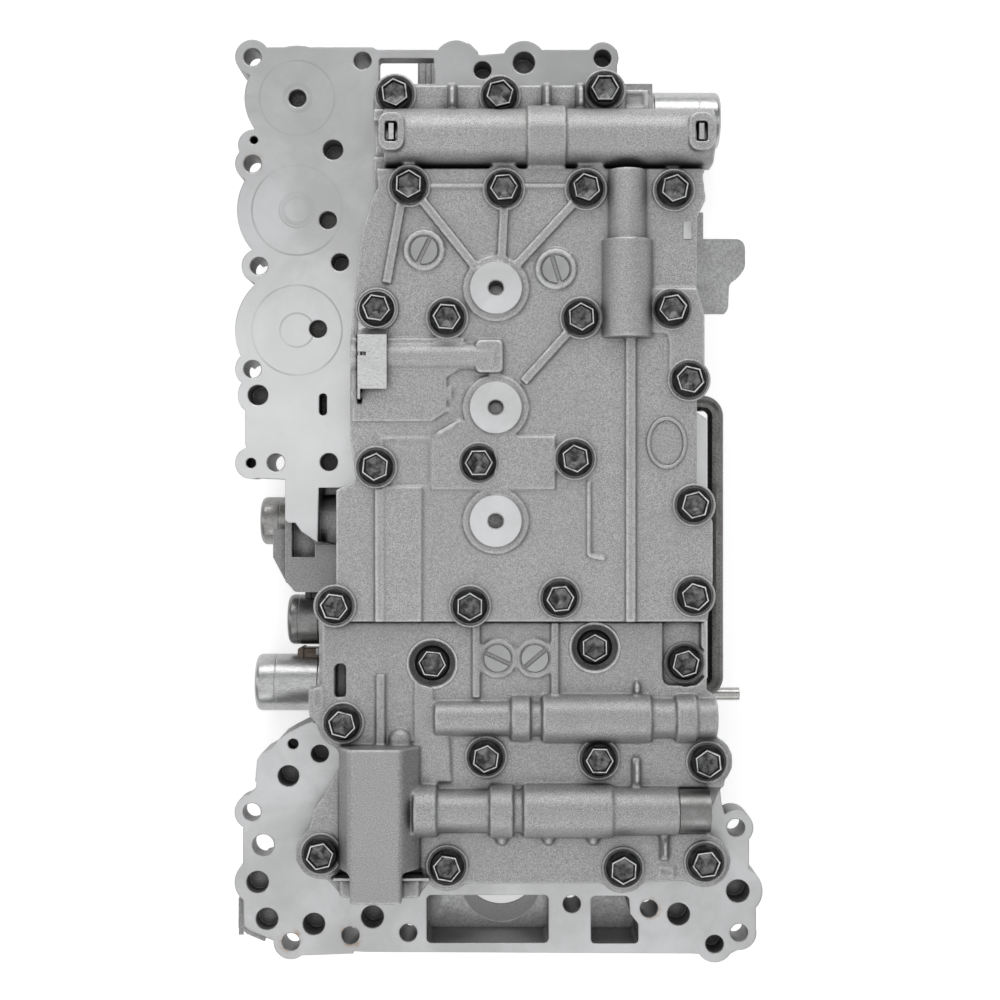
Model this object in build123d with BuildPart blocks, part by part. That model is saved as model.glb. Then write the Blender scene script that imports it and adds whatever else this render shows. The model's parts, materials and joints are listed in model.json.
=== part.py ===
from build123d import *
import os

# Transmission valve body: two cast bodies under the case face, two more on top of it, and the valves in their bores.
# Millimetres. +Z points at the transmission case, +Y at the front of the gearbox. The origin is the centre of the footprint, on the underside.

# Stack of castings and separator sheets, from the underside up
lower_height = 30.0
sheet_thickness = 1.2
middle_height = 24.8
front_height = 12.8
rear_height = 8.8
middle_bottom = lower_height + sheet_thickness
case_face = middle_bottom + middle_height
upper_seat = case_face + sheet_thickness
front_top = upper_seat + front_height
rear_top = upper_seat + rear_height

# Clearances
running_gap = 0.05
loose_gap = 0.2
flat_gap = 0.3

# Small repeated forms are prisms with few sides
small_sides = 12
shank_sides = 6
spring_sides = 8

# M6 flange bolts
bolt_radius = 3.0
bolt_flats = 10.0
bolt_head_height = 5.0
bolt_flange_radius = 7.1
bolt_flange_thickness = 1.4
bolt_boss_radius = 8.2
bolt_face_radius = 7.6
bolt_boss_rise = 1.0
bolt_engagement = 14.0
bolt_tip_gap = 1.0
bolt_hole_radius = bolt_radius + loose_gap
bolt_thread_radius = bolt_radius + running_gap
front_seat = front_top + bolt_boss_rise
rear_seat = rear_top + bolt_boss_rise
ledge_top = upper_seat + 5.4
ledge_seat = ledge_top + bolt_boss_rise
recess_seat = upper_seat + 4.6
recess_radius = 9.5
ledge_bolts = [(-42.2, 165.8), (0.6, 165.4), (43.3, 167.6)]
block_bolts = [
    (-36.1, 127.2), (2.2, 125.9), (35.3, 125.9), (70.8, 125.5),
    (-20.8, 73.9), (33.3, 73.9), (70.0, 77.5), (76.9, 48.8),
    (-49.5, 13.7), (-7.9, 15.3), (30.9, 17.0), (78.9, -1.6),
    (-66.0, -42.4), (-11.5, -42.4), (24.8, -39.2), (78.9, -38.4),
]
bracket_bolt = (-49.1, 77.5)
rear_bolts = [
    (-27.0, -66.2), (39.2, -59.7), (76.2, -66.2), (-63.2, -90.2),
    (-5.1, -104.0), (40.8, -104.8), (84.7, -106.0), (-72.1, -143.4),
    (-20.9, -148.3), (50.6, -149.1), (83.9, -146.7),
]
recessed_rear_bolts = rear_bolts[:3]
raised_rear_bolts = rear_bolts[3:]
underside_bolts = [(-48.0, 152.0), (34.0, 150.0), (-48.0, 46.0), (71.0, 20.0), (-66.0, -110.0), (60.0, -147.0)]
underside_recess = 7.0
underside_recess_radius = 8.0
underside_engagement = 9.0
cover_bolts = [(-67.6, 181.8), (-91.5, 144.0), (-67.6, 50.0)]

# Case bolts and passages that open on the case face
case_hole_radius = 3.6
ear_radius = 7.2
ear_thickness = 15.7
corner_ear_thickness = 10.0
case_line_x = -101.7
case_line_front = 183.5
case_line_rear = 54.5
case_row_y = -178.4
case_row_left = -37.3
case_row_right = 99.4
mount_holes = [
    (case_line_x, case_line_front), (case_line_x, case_line_rear), (case_row_left, case_row_y), (case_row_right, case_row_y),
]
wing_case_holes = [(case_line_x, 139.4), (-99.0, 97.1)]
corner_case_holes = [(-101.9, -128.5)]
other_case_holes = [
    (-56.2, 182.0), (-92.0, 15.9), (-85.8, -182.2), (-61.2, -179.5), (30.3, -166.5), (62.2, -168.4), (98.1, -135.0),
]
dowel_hole = (-97.2, -142.2)
dowel_hole_radius = 4.4
passage_depth = 12.0
small_passages = [
    (-68.4, 145.2, 4.1), (-65.5, 98.7, 3.6), (-99.4, 43.8, 4.1), (-70.1, 16.1, 3.6),
    (-6.6, 178.1, 3.6), (10.5, 181.2, 4.5), (43.0, 183.0, 3.6), (-73.8, -104.4, 3.6), (-86.8, -113.6, 4.3),
    (-99.6, -157.5, 4.5), (-95.7, -172.7, 4.5), (-76.3, -174.8, 4.5), (-52.1, -171.8, 4.6), (74.4, -170.7, 4.6),
    (98.9, -161.2, 4.7), (89.3, -183.1, 3.7), (-101.1, 149.2, 1.6), (-102.3, 15.7, 2.0), (-84.9, -100.4, 2.1),
]
corner_passage_depth = 8.0

# Accumulators in the wing of the middle body: centre, bore radius, outer radius of the wall
accumulator_roof = 4.8
accumulators = {
    "front": (-83.3, 166.5, 17.0, 21.7),
    "centre": (-83.3, 120.2, 19.0, 24.8),
    "rear": (-83.3, 70.6, 18.5, 25.6),
}
accumulator_feed_radius = 3.6
accumulator_feeds = [(-83.1, 166.5), (-70.5, 116.1), (-74.6, 71.1)]
accumulator_piston_height = 9.0
accumulator_travel = 6.0
accumulator_cover_height = 10.0
accumulator_cover_margin = 2.5
accumulator_seat_depth = 4.0
accumulator_spring_margin = 5.0
accumulator_spring_wall = 2.5

# Windows through the middle body
front_window = (-49.4, -26.3, 172.3, 183.0)
rear_window = (-29.7, 20.7, -182.7, -162.8)
small_window = [(38.2, -163.2), (53.9, -163.2), (54.4, -170.5), (57.8, -174.8), (57.8, -182.9), (38.2, -182.9)]
window_corner = 2.0
window_boss = (-42.0, -163.0)
window_boss_radius = 18.6
window_boss_top = middle_bottom + 13.0
strainer_port = (1.0, -163.5)
strainer_port_radius = 17.0

# Valve bores in the front upper body
main_axis_y = 147.7
main_axis_z = 66.2
main_boss_radius = 11.6
main_collar_radius = 12.8
main_bore_radius = 7.5
main_left_end = -46.2
main_right_end = 87.0
main_wall_left = 17.0
main_wall_right = 21.0
key_thickness = 2.0
key_width = 6.4
key_slot = (4.8, 8.0)
key_pad = (10.2, 15.2)
key_pad_top = main_axis_z + main_boss_radius + 0.9
left_key_x = -42.9
right_key_x = 81.2
damper_axis_x = 52.0
damper_axis_z = 68.2
damper_neck_radius = 8.0
damper_boss_radius = 10.4
damper_bore_radius = 6.5
damper_front = 134.0
damper_step = 105.7
damper_rear = 66.0
modulator_axis_y = 58.3
modulator_axis_z = 67.2
modulator_boss_radius = 6.5
modulator_bore_radius = 4.4
modulator_end_x = -10.0
relay_axis_y = 43.5
relay_axis_z = 66.0
relay_boss_radius = 5.2
relay_bore_radius = 3.2
relay_end_x = -20.0
left_boss_end_x = -59.8
bracket_thickness = 1.0
bracket_face_x = -55.6
bracket_plate_bottom = modulator_axis_z + modulator_boss_radius + flat_gap

# Valve bores in the rear upper body
shift_axis_y = -88.4
shift_axis_z = 64.6
shift_bore_radius = 5.5
shift_open_end = 88.9
sequence_axis_y = -125.8
sequence_axis_z = 66.9
sequence_bore_radius = 6.4
sequence_plug_radius = 8.9
sequence_cradle_start = 73.1
control_axis_x = -48.2
control_axis_z = 66.6
control_bore_radius = 8.4
control_front = -99.3
control_rear = -162.0
control_neck_radius = 6.0
retainer_y = -153.2
retainer_thickness = 1.0
retainer_top = 69.8

# Manual valve and solenoids in the lower body
manual_axis_x = -48.0
solenoid_axis_z = 15.0
manual_bore_radius = 6.0
manual_face_y = -158.0
manual_travel = 20.0
solenoid_face_x = -77.0
solenoid_nose_radius = 8.0
solenoid_nose_length = 20.0

# Pipe and pin on the right side
pipe_radius = 3.35
pipe_bend_radius = 5.4
pipe_x = 90.9
pipe_z = 46.0
pipe_front_y = 40.9
pipe_rear_y = -79.0
pipe_start_x = 74.0
pin_radius = 2.7
pin_length = 30.0
pin_end_x = 102.0
pin_y = -81.9
pin_z = 38.0


def along_x(x, y, z):
    """A plane whose normal is +X."""
    return Plane(origin=(x, y, z), x_dir=(0, 1, 0), z_dir=(1, 0, 0))


def along_y(x, y, z):
    """A plane whose normal is +Y."""
    return Plane(origin=(x, y, z), x_dir=(-1, 0, 0), z_dir=(0, 1, 0))


def rod(plane, radius, length, mode=Mode.ADD, sides=0):
    """A round bar or bore from the plane along its normal, or one with flat sides where sides is given."""
    with BuildSketch(plane) as disc:
        if sides:
            RegularPolygon(radius, sides)
        else:
            Circle(radius)
    extrude(disc.sketch, amount=length, mode=mode)


def discs(places, radius, bottom, top, mode=Mode.ADD, sides=0):
    """Upright cylinders of one radius at the given places, or prisms where sides is given."""
    with BuildSketch(Plane.XY.offset(bottom)) as pads:
        with Locations(*places):
            if sides:
                RegularPolygon(radius, sides)
            else:
                Circle(radius)
    extrude(pads.sketch, amount=top - bottom, mode=mode)


def slab(points, bottom, top, corner=0.0, mode=Mode.ADD):
    """An upright prism on a closed outline, with its corners rounded where corner is given."""
    with BuildSketch(Plane.XY.offset(bottom)) as outline:
        with BuildLine():
            if corner:
                FilletPolyline(*points, radius=corner, close=True)
            else:
                Polyline(*points, close=True)
        make_face()
    extrude(outline.sketch, amount=top - bottom, mode=mode)


def block(low_x, high_x, low_y, high_y, bottom, top, corner=0.0, mode=Mode.ADD):
    """An upright rectangular block between six faces."""
    with BuildSketch(Plane.XY.offset(bottom)) as outline:
        with Locations(((low_x + high_x) / 2, (low_y + high_y) / 2)):
            if corner:
                RectangleRounded(high_x - low_x, high_y - low_y, corner)
            else:
                Rectangle(high_x - low_x, high_y - low_y)
    extrude(outline.sketch, amount=top - bottom, mode=mode)


def rib(start, end, width, bottom, top):
    """A straight rib with round ends between two points."""
    with BuildSketch(Plane.XY.offset(bottom)) as bar:
        with BuildLine():
            Line(start, end)
        trace(line_width=width)
    extrude(bar.sketch, amount=top - bottom)


def keep(piece, name):
    """Labels a finished piece and writes it."""
    piece.part.label = name
    export_step(piece.part, f"parts/{name}.step")


def sleeve(plane, outer, wall, length):
    """A hollow round body from the plane along its normal."""
    rod(plane, outer, length, sides=spring_sides)
    rod(plane, outer - wall, length, mode=Mode.SUBTRACT, sides=spring_sides)


os.makedirs("parts", exist_ok=True)

# Lower body: solenoid bores on the left, strainer port under the rear window
lower_outline = [
    (-58, 165), (-58, 40), (-77, 30), (-77, -94), (-76, -120), (-62, -158), (-31, -158), (-31, -184.5),
    (22.5, -184.5), (22.5, -158), (37, -158), (37, -184.5), (58, -184.5), (58, -158), (80, -158), (80, 148),
    (66, 150), (66, 179), (40, 179), (40, 165),
]
solenoids = {
    "line_pressure_solenoid": (-105.7, -79.5, 12.4),
    "shift_solenoid": (-91.7, -51.9, 10.9),
    "lockup_solenoid": (-103.5, -8.7, 10.4),
}
throttle_solenoid = (96.4, 166.6, 12.4)
throttle_face_x = 66.0
underside_pockets = [(-44, -6, 70, 138), (4, 58, 84, 138), (-40, 58, -8, 44), (0, 58, -138, -34)]
pocket_depth = 6.0
pocket_rib = 3.0

with BuildPart() as lower_body:
    slab(lower_outline, 0, lower_height)
    # Light pockets cast into the underside between the bolt bosses
    for low_x, high_x, low_y, high_y in underside_pockets:
        block(low_x, high_x, low_y, high_y, 0, pocket_depth, mode=Mode.SUBTRACT)
    for y in (98, 118):
        rib((-44, y), (-6, y), pocket_rib, 0, pocket_depth)
        rib((4, y), (58, y), pocket_rib, 0, pocket_depth)
    for y in (-62, -90, -116):
        rib((0, y), (58, y), pocket_rib, 0, pocket_depth)
    for x in (-16, 20):
        rib((x, -8), (x, 44), pocket_rib, 0, pocket_depth)
    # Strainer port
    discs([strainer_port], strainer_port_radius, 0, lower_height, mode=Mode.SUBTRACT)
    # Bores for the solenoid noses and the manual valve
    for end_x, y, radius in solenoids.values():
        rod(along_x(solenoid_face_x, y, solenoid_axis_z), solenoid_nose_radius + running_gap,
            solenoid_nose_length + 1, mode=Mode.SUBTRACT)
    rod(along_x(throttle_face_x - solenoid_nose_length - 1, throttle_solenoid[1], solenoid_axis_z),
        solenoid_nose_radius + running_gap, solenoid_nose_length + 1, mode=Mode.SUBTRACT)
    rod(along_y(manual_axis_x, manual_face_y - 1, solenoid_axis_z), manual_bore_radius, 96, mode=Mode.SUBTRACT)
    # Bolt recesses
    discs(underside_bolts, underside_recess_radius, 0, underside_recess, mode=Mode.SUBTRACT, sides=small_sides)
    discs(underside_bolts, bolt_hole_radius, underside_recess, lower_height, mode=Mode.SUBTRACT, sides=shank_sides)
keep(lower_body, "lower_body")

# Lower separator sheet
with BuildPart() as lower_separator:
    slab(lower_outline, lower_height, middle_bottom)
    discs([strainer_port], strainer_port_radius, lower_height, middle_bottom, mode=Mode.SUBTRACT)
    discs(underside_bolts, bolt_hole_radius, lower_height, middle_bottom, mode=Mode.SUBTRACT, sides=shank_sides)
keep(lower_separator, "lower_separator")

# Middle body: the light casting whose machined top is the case face
wing_outline = [
    (-101, 187.5), (-52, 187.5), (-50, 186.5), (-26.5, 186.5), (-7, 184.3), (19, 186.5), (49, 186.5), (49, 172),
    (53, 168), (62, 168), (64, 166), (64, 150), (80, 148), (80, 38), (86, 34), (86, -96), (90, -100), (92, -124),
    (96, -140), (100, -155), (100, -172), (82, -187), (-55, -186.3), (-83, -185), (-94, -178), (-97, -158),
    (-97, -118), (-96, -106), (-90.3, -99.6), (-83.7, -95.5), (-75.8, -91.7), (-70, -88), (-70, -45),
    (-66, -38), (-66, -19), (-75, -17), (-88.2, -8), (-88.2, 9), (-101, 9.5), (-104, 30), (-101, 60), (-101, 90),
]
corner_flange = [
    (-105.3, -120), (-105.6, -137), (-105.6, -150), (-105.2, -177), (-93, -184.5), (-86, -188), (-60, -187),
    (-60, -150), (-85, -120),
]
right_flange = [
    (80, -187), (94, -188), (104, -183), (106.4, -178), (106.4, -169), (103.5, -152), (103.5, -140), (90, -130), (78, -150),
]
with BuildPart() as middle_body:
    slab(wing_outline, middle_bottom, case_face)
    for x, y, radius, outer in accumulators.values():
        discs([(x, y)], outer, middle_bottom, case_face)
    # Ears round the case bolts, thinner than the body
    ears = wing_case_holes + mount_holes + [(98.1, -135.0), (-85.8, -182.2)]
    discs(ears, ear_radius, case_face - ear_thickness, case_face, sides=small_sides)
    discs([(89.3, -183.1)], ear_radius + 0.4, case_face - ear_thickness, case_face, sides=small_sides)
    discs([(-102.3, 15.7), (-101.1, 147.0), (43.0, 183.0)], ear_radius - 0.6, case_face - ear_thickness, case_face,
          sides=small_sides)
    discs([(-16.1, 181.4), (10.5, 181.0)], 8.7, case_face - ear_thickness, case_face, sides=small_sides)
    discs(corner_case_holes, ear_radius, case_face - corner_ear_thickness, case_face, sides=small_sides)
    discs([(-99.6, -157.5)], 9.5, case_face - corner_ear_thickness, case_face, sides=small_sides)
    discs([(98.9, -161.2)], 10.2, case_face - ear_thickness, case_face, sides=small_sides)
    slab(corner_flange, case_face - corner_ear_thickness, case_face)
    slab(right_flange, case_face - ear_thickness, case_face)
    # Cast rim that shows beside the corner flange
    block(-109.0, -100, -182, -168, case_face - corner_ear_thickness - 4, case_face - corner_ear_thickness)
    # Lug beside the solenoids, with its pocket and plug seat
    slab([(-90.4, -7), (-90.4, -33.5), (-86.2, -38.6), (-66, -38.6), (-66, -7)], middle_bottom, middle_bottom + 9, corner=2)
    slab([(-96.2, -12), (-96.2, -24), (-90.4, -35), (-88, -35), (-88, -12)], middle_bottom, middle_bottom + 4)
    rod(along_x(-77, -8.0, middle_bottom + 8.2), 10.6, 12)
    block(-77, -64, -19, 3, middle_bottom, middle_bottom + 8.2)
    slab([(-87.5, -9), (-84, -9), (-77.7, -18), (-77.7, -23.7), (-87.5, -23.7)], middle_bottom + 2, case_face, mode=Mode.SUBTRACT)
    # Rail over the front window is thin
    block(-52, -24, 171.5, 190, middle_bottom - 1, case_face - 8, mode=Mode.SUBTRACT)
    block(*front_window, middle_bottom - 1, case_face + 1, corner=1.2, mode=Mode.SUBTRACT)
    # Rear windows
    block(*rear_window, middle_bottom - 1, case_face + 1, corner=window_corner, mode=Mode.SUBTRACT)
    slab(small_window, middle_bottom - 1, case_face + 1, corner=1.8, mode=Mode.SUBTRACT)
    with BuildSketch(Plane.XY.offset(middle_bottom)) as boss:
        with Locations(window_boss):
            Circle(window_boss_radius)
        with Locations((-30, -172.7)):
            Rectangle(40, 19.9, mode=Mode.INTERSECT)
    extrude(amount=window_boss_top - middle_bottom)
    # Case bolt holes
    discs(mount_holes, case_hole_radius, middle_bottom - 1, case_face + 1, mode=Mode.SUBTRACT)
    discs(wing_case_holes + corner_case_holes + other_case_holes, case_hole_radius, middle_bottom - 1, case_face + 1,
          mode=Mode.SUBTRACT, sides=small_sides)
    discs([dowel_hole], dowel_hole_radius, middle_bottom - 1, case_face + 1, mode=Mode.SUBTRACT, sides=small_sides)
    # Corner underside relief, so that the flanges there are thin
    slab([(-111, -116), (-84, -116), (-66, -150), (-66, -190), (-111, -190)], middle_bottom - 1,
         case_face - corner_ear_thickness - 4, mode=Mode.SUBTRACT)
    slab([(110, -128), (92, -128), (82, -150), (82, -190), (110, -190)], middle_bottom - 1,
         case_face - ear_thickness, mode=Mode.SUBTRACT)
    # Passages in the case face
    for x, y, radius in small_passages:
        depth = corner_passage_depth if x < -84 and y < 0 else passage_depth
        discs([(x, y)], radius, case_face - depth, case_face + 1, mode=Mode.SUBTRACT, sides=small_sides)
    for x, y, width, length in ((-72.5, 39.9, 3.3, 9.2), (-16.1, 181.4, 3.7, 9.3)):
        with BuildSketch(Plane.XY.offset(case_face - passage_depth)) as slot:
            with Locations((x, y)):
                SlotOverall(length, width, rotation=90)
        extrude(amount=passage_depth + 1, mode=Mode.SUBTRACT)
    # Accumulator bores, open on the underside
    for x, y, radius, outer in accumulators.values():
        discs([(x, y)], radius, middle_bottom - 1, case_face - accumulator_roof, mode=Mode.SUBTRACT)
    discs(accumulator_feeds, accumulator_feed_radius, case_face - accumulator_roof - 1, case_face + 1,
          mode=Mode.SUBTRACT, sides=small_sides)
    # Threads for the upper bolts and the underside bolts
    upper_bolts = ledge_bolts + block_bolts + [bracket_bolt] + rear_bolts
    discs(upper_bolts, bolt_thread_radius, case_face - bolt_engagement - bolt_tip_gap, case_face + 1,
          mode=Mode.SUBTRACT, sides=shank_sides)
    discs(underside_bolts + cover_bolts, bolt_thread_radius, middle_bottom - 1,
          middle_bottom + underside_engagement + bolt_tip_gap, mode=Mode.SUBTRACT, sides=shank_sides)
    # Pipe sockets and pin hole on the right side
    for y in (pipe_front_y, pipe_rear_y):
        rod(along_x(pipe_start_x - 1, y, pipe_z), pipe_radius + running_gap, 20, mode=Mode.SUBTRACT)
    rod(along_x(pin_end_x - pin_length, pin_y, pin_z), pin_radius + running_gap, pin_length + 10, mode=Mode.SUBTRACT)
    block(-120, 120, -200, 200, 0, middle_bottom, mode=Mode.SUBTRACT)
keep(middle_body, "middle_body")

# Cover of the accumulators, under the wing
cover_bottom = middle_bottom - accumulator_cover_height
with BuildPart() as accumulator_cover:
    for x, y, radius, outer in accumulators.values():
        discs([(x, y)], radius + accumulator_cover_margin, cover_bottom, middle_bottom)
    block(-99, -60.5, 42.5, 189, cover_bottom, middle_bottom, corner=5)
    for x, y, radius, outer in accumulators.values():
        discs([(x, y)], radius - accumulator_spring_margin + 1, middle_bottom - accumulator_seat_depth,
              middle_bottom + 1, mode=Mode.SUBTRACT)
    discs(wing_case_holes + mount_holes[:2], case_hole_radius + 0.5, cover_bottom - 1, middle_bottom + 1,
          mode=Mode.SUBTRACT, sides=small_sides)
    discs(cover_bolts, bolt_hole_radius, cover_bottom, middle_bottom, mode=Mode.SUBTRACT, sides=shank_sides)
keep(accumulator_cover, "accumulator_cover")

# Accumulator pistons and springs
piston_top = case_face - accumulator_roof
piston_bottom = piston_top - accumulator_piston_height
for name, (x, y, radius, outer) in accumulators.items():
    with BuildPart() as piston:
        discs([(x, y)], radius - running_gap, piston_bottom, piston_top)
        discs([(x, y)], radius - accumulator_spring_margin + 1, piston_bottom, piston_bottom + 3,
              mode=Mode.SUBTRACT, sides=small_sides)
    keep(piston, f"{name}_accumulator_piston")
    with BuildPart() as piston_spring:
        spring_bottom = middle_bottom - accumulator_seat_depth
        sleeve(Plane(origin=(x, y, spring_bottom)), radius - accumulator_spring_margin, accumulator_spring_wall,
               piston_bottom + 3 - spring_bottom)
    keep(piston_spring, f"{name}_accumulator_spring")

# Outlines of the two upper bodies
ledge_front = 170.3
ledge_right = (61.2, 168.4)
front_outline = [
    (-49, ledge_front), (36, ledge_front), (50, ledge_right[1]), ledge_right, (62.9, 158.8), (87.1, 158.8), (87.1, 142), (82.7, 132),
    (83.9, 122), (80.3, 114.4), (80.3, 87.3), (83.3, 75), (83.3, 55), (80.3, 41.6), (80.3, 6.5), (86.7, -8.5),
    (86.7, -31.9), (84.5, -48.9), (-65.7, -48.9), (-65.7, 4.4), (-57.6, 8.5), (-60, 24.7),
    (-60, 65.1), (-57.6, 91.4), (-55.6, 107.5), (-51.6, 121.7), (-48.7, 127), (-51.2, 160),
]
rear_outline = [
    (-71.8, -49.2), (-71.8, -74.9), (-77.5, -77), (-77.5, -87.1), (-69.4, -96.4), (-64.9, -102.5), (-64.9, -108.6),
    (-71.4, -120), (-75.5, -125.5), (-77.5, -134.7), (-79.5, -148.1), (-69, -155), (-66, -158.5), (-62, -161.5),
    (-34, -161.5), (-30.5, -158.5), (-29, -155.8), (43.3, -155.8), (86.9, -154.6), (91.5, -146.1), (85.6, -140),
    (85.6, -134), (88.9, -124.9), (92.1, -115.6), (92.1, -103.4), (88.9, -99.3), (88.9, -79.8), (84.5, -76.9),
    (84.5, -49.2),
]
separator_tab = [
    (78, 119), (84.4, 119), (84.4, 108.1), (99.6, 108.1), (101.7, 105.6), (101.7, 96.1), (98.8, 92), (95.1, 89.5),
    (94.7, 78.8), (93, 77.1), (78, 77.1),
]

# Upper separator sheet, with the tab at the right
with BuildPart() as upper_separator:
    with BuildSketch(Plane.XY.offset(case_face)):
        for outline in (front_outline, rear_outline, separator_tab):
            with BuildLine():
                Polyline(*outline, close=True)
            make_face()
        with Locations(*upper_bolts):
            RegularPolygon(bolt_boss_radius, small_sides)
        with Locations(*upper_bolts):
            RegularPolygon(bolt_hole_radius, shank_sides, mode=Mode.SUBTRACT)
    extrude(amount=sheet_thickness)
keep(upper_separator, "upper_separator")

# Front upper body
front_slab = 3.0
plateau_edge = 134.6
collar_start = 11.6
collar_length = 15.4
port_pads = [(-1.0, 85.9), (-1.1, 37.7), (-1.1, -8.1)]
port_pad_height = 2.4
port_pad_base = 13.4
port_pad_radius = 10.6
port_radius = 3.0
plug_discs = [(-30.1, 101.3), (23.2, 93.7)]
plug_disc_radius = 8.4
plug_face_radius = 6.3
plug_disc_height = 1.3
port_pad_step = 1.3
recess_depth = 1.0
rib_height = 1.8
panel_height = 1.2
front_ribs = [
    ((-39.4, 120), (-45.2, 88)), ((-31, 121.5), (-9, 94)), ((2.3, 119), (1.2, 97)), ((31, 121), (7, 95)),
    ((28, 68), (10, 48)), ((-48.2, 5), (-48.2, -48.9)),
]
front_ridges = [((-30, 127.4), (-4, 127.4)), ((9, 127.4), (29, 127.4)), ((36.5, 8), (36.5, -22)), ((36.5, -22), (43, -23.5))]
front_panels = [
    [(-59, 65.8), (-14, 65.8), (-14, 54), (-21, 50), (-21, 36), (-27, 32.2), (-59, 32.2)],
    [(-27, 25.4), (-14.5, 32.4), (-7, 26.2), (22.8, 26.2), (22.8, 4.8), (-27, 4.8)],
    [(-46.5, 5.4), (-31.2, 5.4), (-31.2, -48.9), (-46.5, -48.9)],
    [(68, 68), (69, 64), (69, 47), (83.3, 47), (83.3, 75), (80, 86), (63, 86), (63, 68)],
]
with BuildPart() as front_valve_body:
    slab(front_outline, upper_seat, upper_seat + front_slab)
    with BuildSketch(Plane.XY.offset(upper_seat)):
        with BuildLine():
            Polyline(*front_outline, close=True)
        make_face()
        with Locations((0, plateau_edge - 100)):
            Rectangle(240, 200, mode=Mode.INTERSECT)
    extrude(amount=front_height)
    # Ledge along the front edge
    slab([(-49, ledge_front), (36, ledge_front), (50, ledge_right[1]), ledge_right, (ledge_right[0], 150), (-49, 150)],
         upper_seat, ledge_top)
    block(52.0, 59.4, 161.5, 166.6, ledge_top - recess_depth, front_top, mode=Mode.SUBTRACT)
    discs(ledge_bolts, bolt_boss_radius, upper_seat, ledge_seat, sides=small_sides)
    for x in (-18.8, 19.6, 33.3):
        rib((x, ledge_front), (x, 152), 3.2, ledge_top, ledge_top + 4)
    # Boss of the main bore across the body
    block(-51, main_left_end + 1, 126, 160, upper_seat, main_axis_z - 1)
    block(main_left_end, main_right_end, main_axis_y - main_boss_radius + 0.3, main_axis_y + main_boss_radius - 0.3,
          upper_seat, main_axis_z)
    rod(along_x(main_left_end, main_axis_y, main_axis_z), main_boss_radius, main_right_end - main_left_end)
    rod(along_x(collar_start, main_axis_y, main_axis_z), main_collar_radius, collar_length)
    for x in (left_key_x, right_key_x):
        with BuildSketch(Plane.XY.offset(main_axis_z)):
            with Locations((x, main_axis_y)):
                RectangleRounded(*key_pad, 4)
        extrude(amount=key_pad_top - main_axis_z)
    # Bumps of the plateau towards the main bore
    discs([(2.2, 127)], 9.8, upper_seat, front_top)
    block(31.5, 43, 125, 137, upper_seat, front_top, corner=3)
    # Damper boss along the body
    rod(along_y(damper_axis_x, damper_rear, damper_axis_z), damper_boss_radius, damper_step - damper_rear)
    rod(along_y(damper_axis_x, damper_step, damper_axis_z), damper_neck_radius, damper_front - damper_step)
    # Bosses of the modulator and relay valves
    rod(along_x(left_boss_end_x, modulator_axis_y, modulator_axis_z), modulator_boss_radius, 58)
    block(-9.2, 1.8, 51.7, 65.1, front_top, modulator_axis_z + modulator_boss_radius - 0.6, corner=2)
    rod(along_x(left_boss_end_x, relay_axis_y, relay_axis_z), relay_boss_radius, 41)
    # Bolt bosses, ribs and ridges
    discs(block_bolts, bolt_boss_radius, upper_seat, front_seat, sides=small_sides)
    for start, end in front_ribs:
        rib(start, end, 3.6, front_top, front_top + rib_height)
    rib((53.4, 67), (53.4, -48.9), 4.2, front_top, front_top + rib_height)
    for start, end in front_ridges:
        rib(start, end, 1.6, front_top, front_top + panel_height)
    for panel in front_panels:
        slab(panel, front_top, front_top + panel_height)
    # Machined pads round the three ports, and two plug discs
    discs(port_pads, port_pad_base, front_top, front_top + port_pad_step)
    discs(port_pads, port_pad_radius, front_top, front_top + port_pad_height)
    discs(port_pads, port_radius, upper_seat, front_top + 5, mode=Mode.SUBTRACT)
    discs(plug_discs, plug_disc_radius, front_top, front_top + plug_disc_height, sides=16)
    discs(plug_discs, plug_face_radius, front_top + 0.2, front_top + 2, mode=Mode.SUBTRACT, sides=16)
    # Bores
    rod(along_x(main_left_end - 10, main_axis_y, main_axis_z), main_bore_radius,
        main_wall_left - main_left_end + 10, mode=Mode.SUBTRACT)
    rod(along_x(main_wall_right, main_axis_y, main_axis_z), main_bore_radius,
        main_right_end - main_wall_right + 5, mode=Mode.SUBTRACT)
    for x in (left_key_x, right_key_x):
        with BuildSketch(Plane.XY.offset(main_axis_z)):
            with Locations((x, main_axis_y)):
                Rectangle(*key_slot)
        extrude(amount=20, mode=Mode.SUBTRACT)
    rod(along_y(damper_axis_x, 70, damper_axis_z), damper_bore_radius, 31, mode=Mode.SUBTRACT)
    block(damper_axis_x - damper_bore_radius, damper_axis_x + damper_bore_radius, 70, 101, upper_seat - 2,
          damper_axis_z, mode=Mode.SUBTRACT)
    rod(along_x(left_boss_end_x - 5, modulator_axis_y, modulator_axis_z), modulator_bore_radius,
        modulator_end_x - left_boss_end_x + 5, mode=Mode.SUBTRACT)
    rod(along_x(left_boss_end_x - 5, relay_axis_y, relay_axis_z), relay_bore_radius,
        relay_end_x - left_boss_end_x + 5, mode=Mode.SUBTRACT)
    # Slot for the bracket, and the bolt holes
    block(bracket_face_x - bracket_thickness - 0.5, bracket_face_x + 0.5, 39, 67, 60.5, 80, mode=Mode.SUBTRACT)
    discs(ledge_bolts, bolt_face_radius, ledge_seat, 80, mode=Mode.SUBTRACT, sides=small_sides)
    discs(block_bolts, bolt_face_radius, front_seat, 80, mode=Mode.SUBTRACT, sides=small_sides)
    discs(ledge_bolts + block_bolts + [bracket_bolt], bolt_hole_radius, upper_seat - 2, 80, mode=Mode.SUBTRACT, sides=shank_sides)
    block(-120, 120, -60, 180, 40, upper_seat, mode=Mode.SUBTRACT)
keep(front_valve_body, "front_valve_body")

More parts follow.
